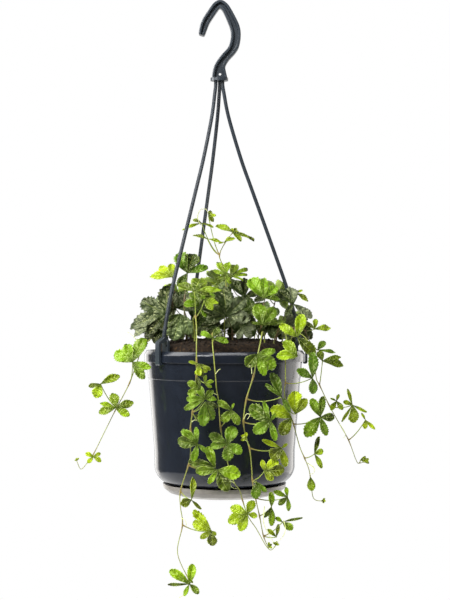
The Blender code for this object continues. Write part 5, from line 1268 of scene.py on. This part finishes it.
def dress_stem(stem, looks, stem_materials, leaf_materials):
    """Makes a stem's two pieces: the stem itself and its leaves."""
    young = stem.name.startswith("stem") or stem.name == "shoot_tall"
    slot = "young_leaf" if young else "mature_leaf"
    green, woody, tendril = stem_materials
    add_piece(stem.name + ".stem", stem_piece(stem), [green if young else woody, tendril], slot, stem.name)
    leaves = add_piece(stem.name + ".leaves", leaves_piece(stem, looks), leaf_materials, slot, stem.name)
    blade = leaves.modifiers.new("Blade thickness", "SOLIDIFY")
    blade.thickness = looks.leaf_thickness
    blade.offset = -1.0
    blade.material_offset = 1
    blade.material_offset_rim = 0


def plant_materials(looks):
    """The plant's materials, made once: those of its stems and tendrils, and those of its leaves."""
    makers = [("Vine_stem", green_stem), ("Vine_old_stem", woody_stem), ("Vine_tendril", pale_tendril),
              ("Leaf_upper", leaf_upper), ("Leaf_underside", leaf_lower)]
    made = [bpy.data.materials.get(name) or maker(name, looks) for name, maker in makers]
    return made[:3], made[3:]


def grow_stems(looks, kind):
    """Grows every stem whose name begins with this word."""
    for stem in STEMS:
        if stem.name.startswith(kind):
            dress_stem(stem, looks, *plant_materials(looks))


class GRAPEIVY_OT_pot(Operator):
    """Makes the pot"""
    bl_idname = "grapeivy.pot"
    bl_label = "Pot"

    def execute(self, context):
        looks = context.scene.grape_ivy_pot
        plastic = moulded_polypropylene("Pot_polypropylene", tuple(looks.pot_colour), gloss=0.17, shine=0.34)
        add_piece("pot.shell", pot_shell(looks), [plastic], "pot", "pot")
        return {"FINISHED"}


class GRAPEIVY_OT_tray(Operator):
    """Makes the drip tray under the pot"""
    bl_idname = "grapeivy.tray"
    bl_label = "Drip tray"

    def execute(self, context):
        looks = context.scene.grape_ivy_pot
        plastic = moulded_polypropylene("Tray_polypropylene", tuple(looks.tray_colour), gloss=0.34, shine=0.3)
        add_piece("drip_tray.shell", tray_shell(looks), [plastic], "drip_tray", "drip_tray")
        return {"FINISHED"}


class GRAPEIVY_OT_soil(Operator):
    """Fills the pot with crumbly soil"""
    bl_idname = "grapeivy.soil"
    bl_label = "Soil"

    def execute(self, context):
        looks = context.scene.grape_ivy_soil
        peat = damp_peat("Damp_peat", tuple(looks.colour))
        add_piece("soil.mound", soil_lumps(looks), [peat], "soil", "soil")
        return {"FINISHED"}


class GRAPEIVY_OT_hanger(Operator):
    """Makes the hook and the three arms that clip to the rim"""
    bl_idname = "grapeivy.hanger"
    bl_label = "Hanger"

    def execute(self, context):
        looks = context.scene.grape_ivy_hanger
        plastic = moulded_polypropylene("Hanger_polypropylene", tuple(looks.colour), gloss=0.3, shine=0.6)
        hook = add_piece("hanger_hook.beam", hook_beam(), [plastic], "hanger", "hanger_hook")
        soften_edges(hook, looks.edge)
        for arm in ARMS:
            node = "hanger_arm_" + arm.name
            soften_edges(add_piece(node + ".rod", clip_and_rod(arm, looks), [plastic], "hanger", node), looks.edge)
        return {"FINISHED"}


class GRAPEIVY_OT_trailing_stems(Operator):
    """Grows the stems that trail over the rim"""
    bl_idname = "grapeivy.trailing_stems"
    bl_label = "Trailing stems"

    def execute(self, context):
        grow_stems(context.scene.grape_ivy_plant, "stem")
        return {"FINISHED"}


class GRAPEIVY_OT_crown(Operator):
    """Grows the upright shoots of the crown"""
    bl_idname = "grapeivy.crown"
    bl_label = "Crown shoots"

    def execute(self, context):
        grow_stems(context.scene.grape_ivy_plant, "shoot")
        return {"FINISHED"}


def area_light(name, place, aim, size, power, colour=(1.0, 1.0, 1.0)):
    """A soft rectangular light, its places in metres in the row frame."""
    data = bpy.data.lights.new(name, "AREA")
    data.shape = "RECTANGLE"
    data.size, data.size_y = size
    data.energy = power
    data.color = colour
    light = bpy.data.objects.new(name, data)
    light.location = place
    light.rotation_euler = (Vector(aim) - Vector(place)).to_track_quat("-Z", "Y").to_euler()
    bpy.context.scene.collection.objects.link(light)


def studio_world():
    """White behind and above the object and dark in front of it, as in a studio with a lit backdrop and ceiling."""
    world = bpy.data.worlds.new("Studio")
    world.use_nodes = True
    tree = world.node_tree
    way = add_node(tree, "TexCoord", {}, "Generated")
    depth = add_node(tree, "SeparateXYZ", {"Vector": way}, "Y")
    height = add_node(tree, "SeparateXYZ", {"Vector": way}, "Z")
    backdrop = add_node(tree, "ValToRGB", {"Fac": depth}, stops=[
        (0.0, (0.15, 0.15, 0.15)), (0.5, (0.18, 0.18, 0.17)), (0.88, (0.35, 0.35, 0.34)), (0.95, (1.0, 1.0, 1.0))])
    ceiling = add_node(tree, "MapRange", {"Value": height, "From Min": 0.55, "From Max": 0.8, "To Min": 0.0,
                                          "To Max": 0.35}, "Result")
    shade = add_node(tree, "Math", {0: backdrop, 1: ceiling}, operation="MAXIMUM")
    tree.links.new(shade, tree.nodes["Background"].inputs["Color"])
    bpy.context.scene.world = world


class GRAPEIVY_OT_stage(Operator):
    """Sets the floor, lights and camera"""
    bl_idname = "grapeivy.stage"
    bl_label = "Stage"

    def execute(self, context):
        looks = context.scene.grape_ivy_stage
        scene = context.scene
        scene.view_settings.view_transform = "Standard"
        studio_world()
        white, _, _ = new_material("Matt_white_floor", linear("#e2e2e2"), {
            "Roughness": 0.9, "Emission Color": (1.0, 1.0, 1.0, 1.0), "Emission Strength": 0.3})
        work = bmesh.new()
        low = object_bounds()[0].z - looks.floor_drop
        bmesh.ops.create_circle(work, cap_ends=True, radius=looks.floor_radius, segments=96,
                                matrix=Matrix.Translation((0.0, 0.0, low)))
        mesh = bpy.data.meshes.new("floor")
        work.to_mesh(mesh)
        work.free()
        mesh.materials.append(white)
        floor = bpy.data.objects.new("floor", mesh)
        scene.collection.objects.link(floor)
        floor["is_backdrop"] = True
        area_light("Key softbox", (-0.8, -1.2, 0.8), PLANT_MIDDLE, (0.6, 0.6), looks.key_power)
        area_light("Top light", (0.1, -0.75, 1.0), PLANT_MIDDLE, (1.1, 0.22), looks.top_power)
        area_light("Hanger light", (-0.95, -0.15, 0.36), (0.0, 0.0, -0.1), (0.6, 1.1), looks.hanger_power)
        for name, place, width, share in [("Right edge light", (1.05, 0.62, -0.42), 1.4, 1.35),
                                          ("Left edge light", (-0.68, 1.1, -0.42), 0.5, 0.4)]:
            area_light(name, place, (0.0, 0.0, -0.42), (width, 1.2), looks.edge_power * share, WARM_WHITE)
        lens = bpy.data.cameras.new("Front view")
        lens.lens = SENSOR * -EYE.y / PHOTO_HEIGHT
        lens.sensor_fit = "VERTICAL"
        lens.sensor_height = SENSOR
        lens.shift_x, lens.shift_y = (pixels / PHOTO_HEIGHT for pixels in PHOTO_SHIFT)
        camera = bpy.data.objects.new("Front view", lens)
        camera.location = to_row(EYE)
        camera.rotation_euler = (math.pi / 2, 0.0, 0.0)
        scene.collection.objects.link(camera)
        scene.camera = camera
        return {"FINISHED"}


BUILDERS = (GRAPEIVY_OT_pot, GRAPEIVY_OT_tray, GRAPEIVY_OT_soil, GRAPEIVY_OT_hanger, GRAPEIVY_OT_trailing_stems,
            GRAPEIVY_OT_crown, GRAPEIVY_OT_stage)
SETTINGS = {
    "grape_ivy_pot": GrapeIvyPotSettings,
    "grape_ivy_hanger": GrapeIvyHangerSettings,
    "grape_ivy_soil": GrapeIvySoilSettings,
    "grape_ivy_plant": GrapeIvyPlantSettings,
    "grape_ivy_stage": GrapeIvyStageSettings,
}


class GRAPEIVY_PT_panel(Panel):
    """Sizes, colours and builders of the hanging grape ivy"""
    bl_idname = "GRAPEIVY_PT_panel"
    bl_label = "Hanging grape ivy"
    bl_space_type = "VIEW_3D"
    bl_region_type = "UI"
    bl_category = "Grape ivy"

    def draw(self, context):
        for name, group in SETTINGS.items():
            box = self.layout.box()
            for value in group.__annotations__:
                box.prop(getattr(context.scene, name), value)
        for builder in BUILDERS:
            self.layout.operator(builder.bl_idname)


def register():
    for group in (*SETTINGS.values(), *BUILDERS, GRAPEIVY_PT_panel):
        bpy.utils.register_class(group)
    for name, group in SETTINGS.items():
        setattr(bpy.types.Scene, name, PointerProperty(type=group))


def unregister():
    for name in SETTINGS:
        delattr(bpy.types.Scene, name)
    for group in (GRAPEIVY_PT_panel, *BUILDERS[::-1], *SETTINGS.values()):
        bpy.utils.unregister_class(group)


def main():
    register()
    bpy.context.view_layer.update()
    bpy.ops.grapeivy.pot()
    bpy.ops.grapeivy.tray()
    bpy.ops.grapeivy.soil()
    bpy.ops.grapeivy.hanger()
    bpy.ops.grapeivy.trailing_stems()
    bpy.ops.grapeivy.crown()
    bpy.ops.grapeivy.stage()


if __name__ == "__main__":
    main()
